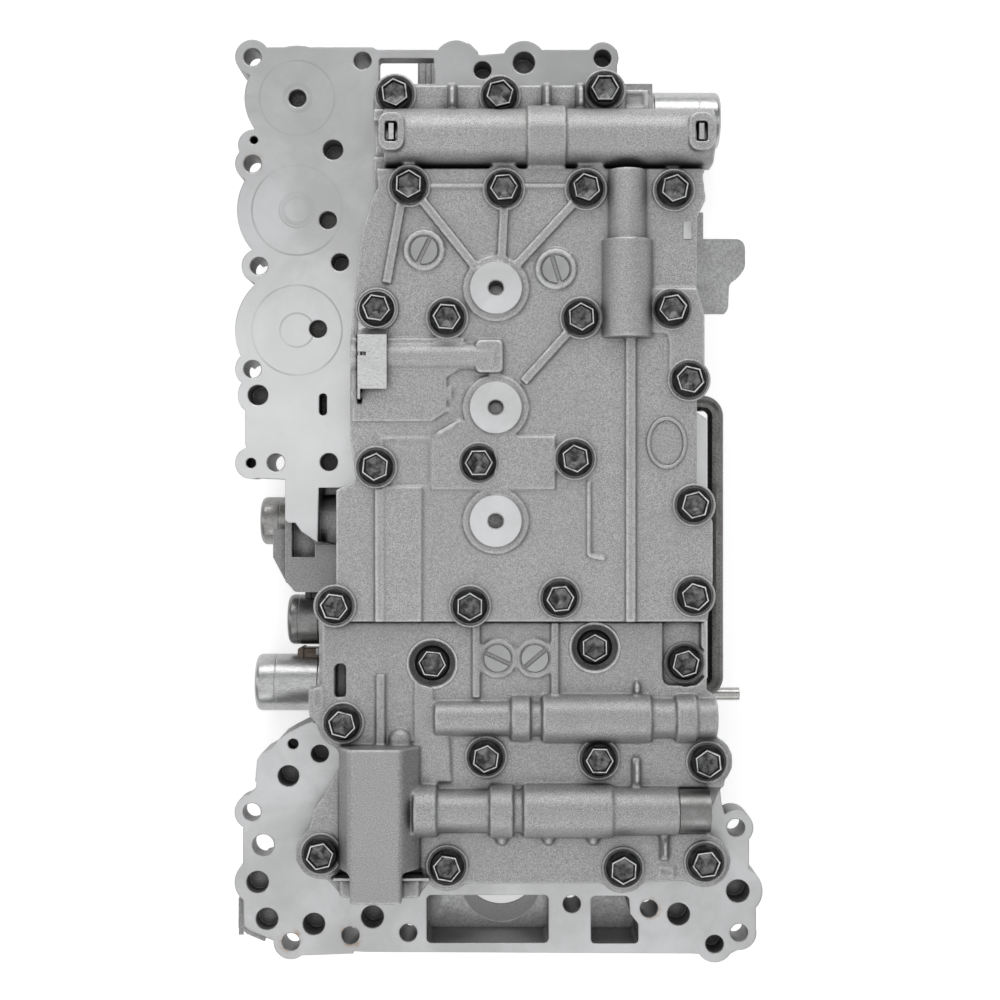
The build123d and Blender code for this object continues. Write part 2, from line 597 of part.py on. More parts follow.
# Rear upper body
shift_steps = [
    (-25.9, 5.1, 7.3), (5.1, 12.8, 9.5), (12.8, 17.7, 7.3), (17.7, 61.8, 10.0), (61.8, 72.0, 8.2),
    (72.0, 80.2, 10.0), (80.2, shift_open_end, 8.3),
]
sequence_steps = [(-34.4, -25, 10.6), (-25, -3.5, 8.6), (-3.5, 5.9, 10.8), (5.9, 10, 8.6), (10, 46, 10.8), (46, 73.1, 9.6)]
control_section = [
    (-64.7, upper_seat), (-64.7, 69), (-60.4, 77.4), (-58.4, 78.4), (-40, 78.4), (-38.4, 77.4), (-32, 69), (-31.7, upper_seat),
]
with BuildPart() as rear_valve_body:
    slab(rear_outline, upper_seat, rear_top)
    discs(raised_rear_bolts, bolt_boss_radius, upper_seat, rear_seat, sides=small_sides)
    for start, end, radius in shift_steps:
        rod(along_x(start, shift_axis_y, shift_axis_z), radius, end - start)
    for start, end, radius in sequence_steps:
        rod(along_x(start, sequence_axis_y, sequence_axis_z), radius, end - start)
    with BuildSketch(Plane(origin=(0, control_rear + 0.5, 0), x_dir=(1, 0, 0), z_dir=(0, -1, 0))):
        with BuildLine():
            Polyline(*control_section, close=True)
        make_face()
    extrude(amount=control_rear + 0.5 - control_front)
    # Raised panel, ribs and the two plug discs in one rim
    slab([(-34.3, -72.6), (-26.8, -72.6), (-25.8, -95.2), (-20, -96.2), (-19.1, -114.2), (-31.9, -114.2), (-34.3, -102.7)],
         rear_top, rear_top + panel_height)
    rib((-9.1, -49.2), (-9.1, -80), 3.2, rear_top, rear_top + rib_height)
    rib((22.9, -49.2), (22.9, -78), 3.2, rear_top, rear_top + rib_height)
    rib((-48, -70), (-48, -100), 3.6, rear_top, rear_top + rib_height)
    rib((55.9, -104), (55.9, -119), 3.2, rear_top, rear_top + rib_height)
    rib((67.3, -134), (67.3, -146), 3.2, rear_top, rear_top + rib_height)
    discs([(-0.4, -64), (14.8, -64)], 8.1, rear_top, rear_top + plug_disc_height, sides=16)
    discs([(-0.4, -64), (14.8, -64)], plug_face_radius, rear_top + 0.2, rear_top + 2, mode=Mode.SUBTRACT, sides=16)
    block(-66.6, -62.2, -83.2, -66.4, upper_seat + 1.5, rear_top + 1, corner=1.5, mode=Mode.SUBTRACT)
    # Recesses of the three bolts near the front edge
    discs(recessed_rear_bolts, recess_radius, recess_seat, 80, mode=Mode.SUBTRACT, sides=small_sides)
    block(67, 82.4, -75, -45, recess_seat, 80, corner=3, mode=Mode.SUBTRACT)
    # Bores
    rod(along_x(-4, shift_axis_y, shift_axis_z), shift_bore_radius, shift_open_end + 10, mode=Mode.SUBTRACT)
    block(75, 77.4, shift_axis_y - key_width / 2 - loose_gap, shift_axis_y + key_width / 2 + loose_gap,
          upper_seat - 2, shift_axis_z, mode=Mode.SUBTRACT)
    rod(along_x(-28, sequence_axis_y, sequence_axis_z), sequence_bore_radius, 110, mode=Mode.SUBTRACT)
    rod(along_x(sequence_cradle_start, sequence_axis_y, sequence_axis_z), sequence_plug_radius + flat_gap, 30,
        mode=Mode.SUBTRACT)
    block(sequence_cradle_start, 100, sequence_axis_y - sequence_plug_radius - flat_gap,
          sequence_axis_y + sequence_plug_radius + flat_gap, sequence_axis_z, 90, mode=Mode.SUBTRACT)
    rod(along_y(control_axis_x, control_rear - 5, control_axis_z), control_bore_radius, 62, mode=Mode.SUBTRACT)
    # Slot of the retainer, and the two pockets beside it
    block(-70, -27, retainer_y - 0.8, retainer_y + 0.8, upper_seat - 2, retainer_top + 0.4, mode=Mode.SUBTRACT)
    block(-66.5, -59.6, retainer_y - 0.8, -149.2, 62, 90, mode=Mode.SUBTRACT)
    block(-38.8, -28.5, retainer_y - 0.8, -149.2, 62, 90, mode=Mode.SUBTRACT)
    block(-72, -59.6, -163, retainer_y - 0.8, 67.5, 90, mode=Mode.SUBTRACT)
    block(-38.8, -25, -163, retainer_y - 0.8, 67.5, 90, mode=Mode.SUBTRACT)
    discs(raised_rear_bolts, bolt_face_radius, rear_seat, 80, mode=Mode.SUBTRACT, sides=small_sides)
    discs(rear_bolts, bolt_hole_radius, upper_seat - 2, 80, mode=Mode.SUBTRACT, sides=shank_sides)
    discs(block_bolts, bolt_boss_radius + flat_gap, upper_seat - 2, 80, mode=Mode.SUBTRACT, sides=small_sides)
    block(-120, 120, -170, -40, 40, upper_seat, mode=Mode.SUBTRACT)
keep(rear_valve_body, "rear_valve_body")


def bolts(places, seat, tip, up=1):
    """Flange bolts that stand on the seat, with the tip of the shank at the given height."""
    with BuildSketch(Plane.XY.offset(min(seat, tip))) as shanks:
        with Locations(*places):
            RegularPolygon(bolt_radius, shank_sides)
    extrude(shanks.sketch, amount=abs(seat - tip))
    with BuildSketch(Plane.XY.offset(seat)) as flanges:
        with Locations(*places):
            RegularPolygon(bolt_flange_radius, small_sides)
    extrude(flanges.sketch, amount=up * bolt_flange_thickness)
    with BuildSketch(Plane.XY.offset(seat)) as heads:
        with Locations(*places):
            RegularPolygon(bolt_flats / 2, 6, major_radius=False)
    extrude(heads.sketch, amount=up * bolt_head_height)


# Flange bolts
upper_bolt_tip = case_face - bolt_engagement
with BuildPart() as front_body_bolts:
    bolts(block_bolts + [bracket_bolt], front_seat, upper_bolt_tip)
    bolts(ledge_bolts, ledge_seat, upper_bolt_tip)
keep(front_body_bolts, "front_body_bolts")

with BuildPart() as rear_body_bolts:
    bolts(raised_rear_bolts, rear_seat, upper_bolt_tip)
    bolts(recessed_rear_bolts, recess_seat, upper_bolt_tip)
keep(rear_body_bolts, "rear_body_bolts")

with BuildPart() as lower_body_bolts:
    bolts(underside_bolts, underside_recess, middle_bottom + underside_engagement, up=-1)
keep(lower_body_bolts, "lower_body_bolts")

with BuildPart() as accumulator_cover_bolts:
    bolts(cover_bolts, cover_bottom, middle_bottom + underside_engagement, up=-1)
keep(accumulator_cover_bolts, "accumulator_cover_bolts")

# Valves of the main bore: each presses on its plug through a spring, and a flat key holds the plug
plug_length = 8.4
plug_gap = 0.4
key_groove_radius = 3.0
key_groove_width = key_thickness + 2 * plug_gap
key_height = key_pad_top - main_axis_z - key_groove_radius - flat_gap
primary_length = 34.0
primary_travel = 6.0
main_spring_radius = 6.4
valve_spring_wall = 1.6
main_plug_start = left_key_x - 3.0
main_plug_end = right_key_x + 5.0


def grooved_plug(plane, radius, length, groove, width, neck):
    """A round plug with one groove at the given distance from its outer face."""
    rod(plane, neck, length, sides=spring_sides)
    rod(plane, radius, groove - width / 2)
    rod(plane.offset(groove + width / 2), radius, length - groove - width / 2)


def valve(plane, bore, length, lands, name):
    """A spool that runs in a bore, with lands between the given distances."""
    with BuildPart() as piece:
        rod(plane, bore * 0.55, length, sides=spring_sides)
        for start, end in lands:
            rod(plane.offset(start), bore - running_gap, end - start)
    keep(piece, name)


def spring(plane, radius, length, name):
    """A coil spring, as a plain tube of its outer radius."""
    with BuildPart() as piece:
        sleeve(plane, radius, valve_spring_wall, length)
    keep(piece, name)


main_plane = along_x(main_plug_start, main_axis_y, main_axis_z)
with BuildPart() as primary_plug:
    grooved_plug(main_plane, main_bore_radius - running_gap, plug_length, left_key_x - main_plug_start,
                 key_groove_width, key_groove_radius)
keep(primary_plug, "primary_plug")
primary_start = main_wall_left - primary_length
valve(along_x(primary_start, main_axis_y, main_axis_z), main_bore_radius, primary_length, [(0, 9), (20, 34)],
      "primary_regulator_valve")
spring(main_plane.offset(plug_length), main_spring_radius, primary_start - main_plug_start - plug_length,
       "primary_regulator_spring")

second_plug_plane = Plane(origin=(main_plug_end, main_axis_y, main_axis_z), x_dir=(0, 1, 0), z_dir=(-1, 0, 0))
with BuildPart() as secondary_plug:
    grooved_plug(second_plug_plane, main_bore_radius - running_gap, plug_length, main_plug_end - right_key_x,
                 key_groove_width, key_groove_radius)
keep(secondary_plug, "secondary_plug")
valve(along_x(main_wall_right, main_axis_y, main_axis_z), main_bore_radius, primary_length, [(0, 14), (25, 34)],
      "secondary_regulator_valve")
spring(along_x(main_wall_right + primary_length, main_axis_y, main_axis_z), main_spring_radius,
       main_plug_end - plug_length - main_wall_right - primary_length, "secondary_regulator_spring")

for x, name in ((left_key_x, "primary_key"), (right_key_x, "secondary_key")):
    with BuildPart() as key:
        block(x - key_thickness / 2, x + key_thickness / 2, main_axis_y - key_width / 2, main_axis_y + key_width / 2,
              key_pad_top - key_height, key_pad_top - 0.6)
    keep(key, name)

# Damper piston and spring in the fore-and-aft boss
damper_length = 12.0
damper_plane = along_y(damper_axis_x, 101 - damper_length, damper_axis_z)
with BuildPart() as damper_piston:
    rod(damper_plane, damper_bore_radius - running_gap, damper_length)
keep(damper_piston, "damper_piston")
spring(along_y(damper_axis_x, 70, damper_axis_z), damper_bore_radius - 1, 31 - damper_length, "damper_spring")

# Modulator and relay valves, whose plugs the bracket holds
small_plug_length = 6.0
modulator_length = 22.0
relay_length = 18.0
valve(along_x(modulator_end_x - modulator_length, modulator_axis_y, modulator_axis_z), modulator_bore_radius,
      modulator_length, [(0, 6), (14, 22)], "modulator_valve")
valve(along_x(relay_end_x - relay_length, relay_axis_y, relay_axis_z), relay_bore_radius, relay_length,
      [(0, 5), (11, 18)], "relay_valve")
with BuildPart() as modulator_plug:
    rod(along_x(bracket_face_x, modulator_axis_y, modulator_axis_z), modulator_bore_radius - running_gap,
        small_plug_length)
keep(modulator_plug, "modulator_plug")
with BuildPart() as relay_plug:
    rod(along_x(bracket_face_x, relay_axis_y, relay_axis_z), relay_bore_radius - running_gap, small_plug_length)
keep(relay_plug, "relay_plug")
small_spring_start = bracket_face_x + small_plug_length
spring(along_x(small_spring_start, modulator_axis_y, modulator_axis_z), modulator_bore_radius - 0.9,
       modulator_end_x - modulator_length - small_spring_start, "modulator_spring")
spring(along_x(small_spring_start, relay_axis_y, relay_axis_z), relay_bore_radius - 0.7,
       relay_end_x - relay_length - small_spring_start, "relay_spring")

# Bracket: an eye under its bolt, a step up, a flat plate and a flange bent down beside the plugs
bracket_right = -44.9
with BuildPart() as retainer_bracket:
    discs([bracket_bolt], 8, front_top, front_top + bracket_thickness)
    with BuildSketch(Plane(origin=(bracket_face_x - bracket_thickness, 0, 0), x_dir=(0, 1, 0), z_dir=(1, 0, 0))):
        with BuildLine():
            Polyline((76, front_top + 0.5), (69.6, front_top + 0.5), (66.5, bracket_plate_bottom + 0.5),
                     (45.1, bracket_plate_bottom + 0.5))
        trace(line_width=bracket_thickness)
    extrude(amount=bracket_right - bracket_face_x + bracket_thickness)
    block(bracket_face_x - bracket_thickness, bracket_face_x, 41, 66, 61, bracket_plate_bottom + 1)
    block(bracket_face_x - 3, bracket_face_x + 2.4, 58.4, 60, bracket_plate_bottom - 1, bracket_plate_bottom + 2,
          mode=Mode.SUBTRACT)
    discs([bracket_bolt], bolt_hole_radius, 60, 80, mode=Mode.SUBTRACT, sides=shank_sides)
keep(retainer_bracket, "retainer_bracket")

# Shift valve with its plug and key
shift_length = 50.0
shift_plug_start = 71.0
shift_plug_length = 16.0
shift_key_x = 76.2
valve(along_x(-4, shift_axis_y, shift_axis_z), shift_bore_radius, shift_length, [(0, 10), (18, 28), (40, 50)],
      "shift_valve")
spring(along_x(-4 + shift_length, shift_axis_y, shift_axis_z), shift_bore_radius - 1,
       shift_plug_start + 4 - shift_length, "shift_spring")
with BuildPart() as shift_plug:
    grooved_plug(along_x(shift_plug_start, shift_axis_y, shift_axis_z), shift_bore_radius - running_gap,
                 shift_plug_length, shift_key_x - shift_plug_start, key_groove_width, key_groove_radius)
keep(shift_plug, "shift_plug")
with BuildPart() as shift_key:
    block(shift_key_x - key_thickness / 2, shift_key_x + key_thickness / 2, shift_axis_y - key_width / 2,
          shift_axis_y + key_width / 2, upper_seat, shift_axis_z - key_groove_radius - flat_gap)
keep(shift_key, "shift_key")

# Sequence valve; its plug has a head that lies in the open cradle
sequence_length = 44.0
sequence_nose = 12.0
valve(along_x(-28, sequence_axis_y, sequence_axis_z), sequence_bore_radius, sequence_length, [(0, 12), (30, 44)],
      "sequence_valve")
spring(along_x(-28 + sequence_length, sequence_axis_y, sequence_axis_z), sequence_bore_radius - 1,
       sequence_cradle_start - sequence_nose + 28 - sequence_length, "sequence_spring")
with BuildPart() as sequence_plug:
    rod(along_x(sequence_cradle_start - sequence_nose, sequence_axis_y, sequence_axis_z),
        sequence_bore_radius - running_gap, sequence_nose)
    rod(along_x(sequence_cradle_start, sequence_axis_y, sequence_axis_z), sequence_plug_radius, 12.5)
keep(sequence_plug, "sequence_plug")

# Control valve along the body, with its cap and the U-shaped retainer
control_length = 26.0
control_wall = control_rear - 5 + 62
control_cap_front = -148.0
valve(along_y(control_axis_x, control_wall - control_length, control_axis_z), control_bore_radius, control_length,
      [(0, 8), (16, 26)], "control_valve")
spring(along_y(control_axis_x, control_cap_front, control_axis_z), control_bore_radius - 1,
       control_wall - control_length - control_cap_front, "control_spring")
with BuildPart() as control_cap:
    grooved_plug(along_y(control_axis_x, control_rear + 1, control_axis_z), control_bore_radius - running_gap,
                 control_cap_front - control_rear - 1, retainer_y - control_rear - 1,
                 retainer_thickness + 2 * plug_gap, control_neck_radius)
keep(control_cap, "control_cap")
with BuildPart() as control_retainer:
    block(-67, -28, retainer_y - retainer_thickness / 2, retainer_y + retainer_thickness / 2, upper_seat, retainer_top)
    rod(along_y(control_axis_x, retainer_y - 2, control_axis_z), control_neck_radius + flat_gap, 4, mode=Mode.SUBTRACT)
    block(control_axis_x - control_neck_radius - flat_gap, control_axis_x + control_neck_radius + flat_gap,
          retainer_y - 2, retainer_y + 2, control_axis_z, 80, mode=Mode.SUBTRACT)
keep(control_retainer, "control_retainer")

# Manual valve: a long spool with a grooved end for the selector linkage
manual_start = -184.0
manual_length = 94.0
with BuildPart() as manual_valve:
    manual_plane = along_y(manual_axis_x, manual_start, solenoid_axis_z)
    rod(manual_plane, 3.4, manual_length, sides=spring_sides)
    for start, end in ((0, 4), (8, 46), (56, 68), (80, manual_length)):
        rod(manual_plane.offset(start), manual_bore_radius - running_gap, end - start)
keep(manual_valve, "manual_valve")

# Solenoids: a can against the lower body, a nose in its bore and a connector
connectors = {
    "line_pressure_solenoid": (-87.8, -78.5, -70, -64.2),
    "shift_solenoid": (-84.5, -78.5, -45, -38.8),
    "lockup_solenoid": (-96.2, -90, -20.4, -15),
}
for name, (end_x, y, radius) in solenoids.items():
    with BuildPart() as solenoid:
        rod(along_x(end_x, y, solenoid_axis_z), radius, solenoid_face_x - end_x)
        rod(along_x(solenoid_face_x, y, solenoid_axis_z), solenoid_nose_radius, solenoid_nose_length)
        block(*connectors[name], solenoid_axis_z - 5, solenoid_axis_z + 5)
    keep(solenoid, name)
throttle_end_x, throttle_y, throttle_radius = throttle_solenoid
with BuildPart() as throttle_pressure_solenoid:
    rod(along_x(throttle_face_x, throttle_y, solenoid_axis_z), throttle_radius, throttle_end_x - throttle_face_x)
    rod(along_x(throttle_face_x - solenoid_nose_length, throttle_y, solenoid_axis_z), solenoid_nose_radius,
        solenoid_nose_length)
keep(throttle_pressure_solenoid, "throttle_pressure_solenoid")

# Oil pipe and side pin
with BuildPart() as oil_pipe:
    with BuildLine():
        FilletPolyline((pipe_start_x, pipe_front_y, pipe_z), (pipe_x, pipe_front_y, pipe_z),
                       (pipe_x, pipe_rear_y, pipe_z), (pipe_start_x, pipe_rear_y, pipe_z), radius=pipe_bend_radius)
    with BuildSketch(along_x(pipe_start_x, pipe_front_y, pipe_z)):
        RegularPolygon(pipe_radius, small_sides)
    sweep()
keep(oil_pipe, "oil_pipe")

with BuildPart() as side_pin:
    rod(along_x(pin_end_x - pin_length, pin_y, pin_z), pin_radius, pin_length)
keep(side_pin, "side_pin")
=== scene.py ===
import json
import math

import bmesh
import bpy
import numpy as np
from mathutils import Matrix, Vector
from mathutils.kdtree import KDTree


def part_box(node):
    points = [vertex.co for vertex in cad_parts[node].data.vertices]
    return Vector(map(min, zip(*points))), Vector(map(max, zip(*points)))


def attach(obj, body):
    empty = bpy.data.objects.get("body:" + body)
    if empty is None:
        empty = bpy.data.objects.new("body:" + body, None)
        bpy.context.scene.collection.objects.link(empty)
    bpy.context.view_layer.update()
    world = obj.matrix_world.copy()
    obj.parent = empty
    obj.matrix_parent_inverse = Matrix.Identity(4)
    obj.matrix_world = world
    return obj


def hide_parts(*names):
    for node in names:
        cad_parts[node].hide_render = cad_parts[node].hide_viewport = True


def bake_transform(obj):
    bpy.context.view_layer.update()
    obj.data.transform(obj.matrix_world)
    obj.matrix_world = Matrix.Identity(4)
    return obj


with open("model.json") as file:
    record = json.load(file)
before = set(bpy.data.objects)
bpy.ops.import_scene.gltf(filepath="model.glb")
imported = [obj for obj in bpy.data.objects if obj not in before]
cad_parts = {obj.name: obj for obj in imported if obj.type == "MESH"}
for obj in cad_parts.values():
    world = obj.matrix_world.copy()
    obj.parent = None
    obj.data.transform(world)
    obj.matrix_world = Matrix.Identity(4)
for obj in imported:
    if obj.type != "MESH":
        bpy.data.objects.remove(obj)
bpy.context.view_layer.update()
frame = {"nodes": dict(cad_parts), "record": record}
MM = 0.001

# Levels of the valve body in millimetres, as the castings have them
CASE_FACE = 56.0
FRONT_TOP = 70.0
REAR_TOP = 66.0
LEDGE_TOP = 62.6
PORT_PAD_TOP = 72.4
MIDDLE_BOTTOM = 30.0
EAR_BOTTOM = 40.3
CORNER_EAR_BOTTOM = 46.0
SOLENOID_Z = 15.0
SOLENOID_FACE_X = -77.0
THROTTLE_FACE_X = 66.0

# Places on the castings, x and y in millimetres; a plug has the turn of its slot in degrees as well
PORT_PADS = [(-1.0, 85.9), (-1.1, 37.7), (-1.1, -8.1)]
FRONT_PLUGS = [(-30.1, 101.3, 64.0), (23.2, 93.7, -73.0)]
REAR_PLUGS = [(-0.4, -64.0, -25.0), (14.8, -64.0, 40.0)]
LEDGE_BOLT_PLACES = [(-42.2, 165.8), (0.6, 165.4), (43.3, 167.6)]
RECESSES = [(-27.0, -66.2), (39.2, -59.7)]
LUG_PLUG = (-83.8, -30.1, 39.0)

# Sizes in metres
BOLT_HEAD = 5.0 * MM
WELD = 0.000002
SKIN_VOXEL = 0.00055
TAB_START = 0.0935
FLOOR_REACH = 6.0

# The photo's camera: its place in metres, its focal length and the picture's side in pixels
CAMERA_PLACE = (0.0006, 0.0004, 0.706)
FOCAL_LENGTH = 1573
PHOTO_SIDE = 1000


# Node helpers

def add(tree, kind, inputs=None, **settings):
    """A node in a tree. An input that is given as a socket is linked, any other is set."""
    node = tree.nodes.new(kind)
    for key, value in settings.items():
        setattr(node, key, value)
    for key, value in (inputs or {}).items():
        if isinstance(value, bpy.types.NodeSocket):
            tree.links.new(value, node.inputs[key])
        else:
            node.inputs[key].default_value = value
    return node


def maths(tree, operation, a, b=0.0, c=0.0):
    """One Math node's result."""
    return add(tree, "ShaderNodeMath", {0: a, 1: b, 2: c}, operation=operation).outputs[0]


def times(tree, a, b):
    """The product of two values."""
    return maths(tree, "MULTIPLY", a, b)


def greatest(tree, a, b):
    """The greater of two values. The first may be missing."""
    return b if a is None else maths(tree, "MAXIMUM", a, b)


def spread(tree, value, low, high, to_low=0.0, to_high=1.0, smooth=True):
    """A value brought from one range to another, and held inside it."""
    inputs = {"Value": value, "From Min": low, "From Max": high, "To Min": to_low, "To Max": to_high}
    kind = "SMOOTHSTEP" if smooth else "LINEAR"
    return add(tree, "ShaderNodeMapRange", inputs, interpolation_type=kind).outputs["Result"]


def tint(tree, factor, first, second):
    """Two colours mixed by a factor."""
    return add(tree, "ShaderNodeMix", {0: factor, 6: first, 7: second}, data_type="RGBA").outputs[2]


def vector_parts(tree, vector):
    """The X, Y and Z of a vector."""
    return add(tree, "ShaderNodeSeparateXYZ", {0: vector}).outputs


def vector_of(tree, x, y, z):
    """A vector from its three parts."""
    return add(tree, "ShaderNodeCombineXYZ", {"X": x, "Y": y, "Z": z}).outputs[0]


def grey(level, warmth=0.0):
    """A grey colour; warmth above 0 leans it to yellow."""
    return (level * (1 + warmth), level * (1 + warmth * 0.4), level * (1 - warmth), 1.0)


def noise(tree, place, scale, detail=3.0, roughness=0.55, distortion=0.0):
    """Noise over the piece. The scale counts features in a metre."""
    inputs = {"Vector": place, "Scale": scale, "Detail": detail, "Roughness": roughness, "Distortion": distortion}
    return add(tree, "ShaderNodeTexNoise", inputs).outputs[0]


def new_finish(name):
    """An empty material: its tree, its shader and the piece's own coordinates."""
    material = bpy.data.materials.new(name)
    material.use_nodes = True
    tree = material.node_tree
    shader = tree.nodes["Principled BSDF"]
    place = add(tree, "ShaderNodeTexCoord").outputs["Object"]
    return material, tree, shader, place


def mark_on_mesh(tree, name):
    """A mark that the mesh carries."""
    return add(tree, "ShaderNodeAttribute", attribute_name=name).outputs["Fac"]


def soft_edges(tree, radius):
    """Normals that are rounded near edges, and how near an edge a point is."""
    rounded = add(tree, "ShaderNodeBevel", {"Radius": radius}, samples=4).outputs[0]
    flat = add(tree, "ShaderNodeNewGeometry").outputs["True Normal"]
    turned = add(tree, "ShaderNodeVectorMath", {0: rounded, 1: flat}, operation="DOT_PRODUCT").outputs["Value"]
    return rounded, spread(tree, turned, 0.99, 0.80)


def from_axes(tree, place, spots):
    """For each (x, y, radius) in millimetres: how far a point is from its upright axis, and the radius, in metres."""
    flat = add(tree, "ShaderNodeVectorMath", {0: place, 1: (1.0, 1.0, 0.0)}, operation="MULTIPLY").outputs[0]
    for x, y, radius in spots:
        inputs = {0: flat, 1: (x * MM, y * MM, 0.0)}
        yield add(tree, "ShaderNodeVectorMath", inputs, operation="DISTANCE").outputs["Value"], radius * MM


def near_spots(tree, place, spots, softness):
    """One near the given spots and nought away from them, with a ragged rim."""
    ragged = noise(tree, place, 260.0, 4.0)
    total = None
    for away, radius in from_axes(tree, place, spots):
        away = maths(tree, "MULTIPLY_ADD", ragged, 0.004, away)
        total = greatest(tree, total, spread(tree, away, radius + softness * MM + 0.002, radius + 0.002))
    return total


def ring_marks(tree, place, rings, width):
    """One on thin rings of the given width in millimetres."""
    total = None
    for away, radius in from_axes(tree, place, rings):
        off = maths(tree, "ABSOLUTE", maths(tree, "SUBTRACT", away, radius))
        total = greatest(tree, total, spread(tree, off, width * MM, width * 0.4 * MM))
    return total


def set_surface(tree, shader, colour, rough, metallic, **bump):
    """Links a colour, a roughness and a bump to a shader. A bump input that is None is left out."""
    tree.links.new(colour, shader.inputs["Base Color"])
    tree.links.new(rough, shader.inputs["Roughness"])
    shader.inputs["Metallic"].default_value = metallic
    given = {key: value for key, value in bump.items() if value is not None}
    tree.links.new(add(tree, "ShaderNodeBump", given).outputs[0], shader.inputs["Normal"])


# Finishes

def machined_area(tree, place, levels):
    """One on level faces between the given heights (bottom, top) in millimetres."""
    height = times(tree, vector_parts(tree, place)["Z"], 1000.0)
    area = None
    for bottom, top in levels:
        over = spread(tree, height, bottom, bottom + 0.02, smooth=False)
        under = spread(tree, height, top + 0.02, top, smooth=False)
        area = greatest(tree, area, times(tree, over, under))
    up = vector_parts(tree, add(tree, "ShaderNodeNewGeometry").outputs["True Normal"])["Z"]
    return times(tree, area, spread(tree, maths(tree, "ABSOLUTE", up), 0.90, 0.97))


def wing_marks(tree, place, milled, tone, rings):
    """The machined wing: brighter along its middle, duller at its end, with half worn rings of the cutter."""
    along = vector_parts(tree, place)["Y"]
    bright = times(tree, spread(tree, along, 125.0 * MM, 60.0 * MM), spread(tree, along, -30.0 * MM, 10.0 * MM))
    milled = tint(tree, times(tree, bright, 0.55), milled, grey(min(0.9, tone * 1.45)))
    milled = tint(tree, spread(tree, along, 110.0 * MM, 180.0 * MM, 0.0, 0.35), milled, grey(tone * 0.72))
    worn_off = spread(tree, noise(tree, place, 26.0, 3.0), 0.34, 0.56, 0.25, 1.0)
    marks = times(tree, ring_marks(tree, place, rings, 0.55), worn_off)
    return tint(tree, times(tree, marks, 0.60), milled, grey(tone * 0.52))


def stained(tree, place, milled, stains):
    """Orange-brown dirt round some of the holes."""
    spots = near_spots(tree, place, stains, 2.6)
    spots = times(tree, spots, spread(tree, noise(tree, place, 190.0, 3.0), 0.40, 0.62, 0.1, 1.0))
    return tint(tree, times(tree, spots, 0.70), milled, (0.30, 0.17, 0.075, 1.0))


def casting_finish(name, tone, levels=(), milled_tone=0.5, edge_radius=0.0009, stains=(), rings=(), skin=False):
    """Satin die-cast aluminium whose crowns are brightened, partly as wear and partly as a painted highlight, with
    painted shade in its corners and hollows; machined at the given levels.
    A skin carries its own crown and hollow marks, because its corners are round."""
    material, tree, shader, place = new_finish(name)
    grain = noise(tree, place, 2309.0, 3.0, 0.75)
    pits = noise(tree, place, 4247.0, 2.0, 0.7)
    cloud = noise(tree, place, 30.0, 4.0, 0.6)
    if skin:
        crown, hollow, rounded = mark_on_mesh(tree, "crown"), mark_on_mesh(tree, "hollow"), None
    else:
        rounded, crown = soft_edges(tree, edge_radius)
    cast = tint(tree, spread(tree, grain, 0.34, 0.66), grey(tone * 0.60, 0.012), grey(tone * 1.36))
    cast = tint(tree, spread(tree, cloud, 0.35, 0.70, 0.0, 0.35), cast, grey(tone * 0.80, 0.02))
    cast = tint(tree, spread(tree, pits, 0.56, 0.72, 0.0, 0.70), cast, grey(tone * 0.34))
    cast = tint(tree, spread(tree, pits, 0.40, 0.28, 0.0, 0.60), cast, grey(min(1.0, tone * 2.0)))
    # Painted shade: corners and creases are darkened by ambient occlusion.
    corners = add(tree, "ShaderNodeAmbientOcclusion", {"Distance": 0.0055}, samples=4).outputs["AO"]
    cast = tint(tree, spread(tree, corners, 0.90, 0.36, 0.0, 0.94), cast, grey(tone * 0.15, 0.03))
    # Painted shade: the hollows of a skin are darkened too.
    if skin:
        cast = tint(tree, times(tree, hollow, 0.78), cast, grey(tone * 0.20, 0.03))
    # Crowns brightened: partly wear, partly a painted highlight.
    worn = times(tree, crown, spread(tree, noise(tree, place, 420.0, 3.0), 0.28, 0.60, 0.30, 1.0))
    cast = tint(tree, worn, cast, grey(min(0.85, tone * 2.1)))
    rough = spread(tree, grain, 0.2, 0.8, 0.52, 0.38)
    relief = maths(tree, "MULTIPLY_ADD", pits, 0.5, grain)
    if levels:
        area = machined_area(tree, place, levels)
        milled = machined_colour(tree, place, milled_tone, crown)
        if rings:
            milled = wing_marks(tree, place, milled, milled_tone, rings)
        if stains:
            milled = stained(tree, place, milled, stains)
        cast = tint(tree, area, cast, milled)
        smoother = spread(tree, noise(tree, place, 900.0), 0.2, 0.8, 0.30, 0.42)
        rough = spread(tree, area, 0.0, 1.0, rough, smoother, smooth=False)
        relief = times(tree, relief, spread(tree, area, 0.0, 1.0, 1.0, 0.12, smooth=False))
    set_surface(tree, shader, cast, rough, 0.72, Strength=0.50, Distance=0.00020, Height=relief, Normal=rounded)
    return material


def machined_colour(tree, place, tone, edge):
    """Light milled aluminium: long fine cutter marks, faint clouds and edges brightened as a painted highlight."""
    aside = add(tree, "ShaderNodeMapping", {"Vector": place, "Location": (0.35, -0.12, 0.0)}).outputs[0]
    cutter = add(tree, "ShaderNodeTexWave",
                 {"Vector": aside, "Scale": 330.0, "Distortion": 1.2, "Detail": 3.0, "Detail Scale": 2.0},
                 wave_type="RINGS", rings_direction="Z").outputs[0]
    cloud = noise(tree, place, 30.0, 5.0, 0.62, 0.4)
    speck = noise(tree, place, 2600.0, 3.0, 0.7)
    milled = tint(tree, spread(tree, cloud, 0.30, 0.72), grey(tone * 0.84), grey(tone * 1.12, -0.004))
    milled = tint(tree, spread(tree, cutter, 0.0, 1.0, 0.0, 0.10, smooth=False), milled, grey(tone * 0.72))
    milled = tint(tree, spread(tree, speck, 0.60, 0.80, 0.0, 0.45), milled, grey(tone * 0.62))
    # Painted highlight: the edges are brightened.
    return tint(tree, times(tree, edge, 0.45), milled, grey(min(0.8, tone * 1.5)))


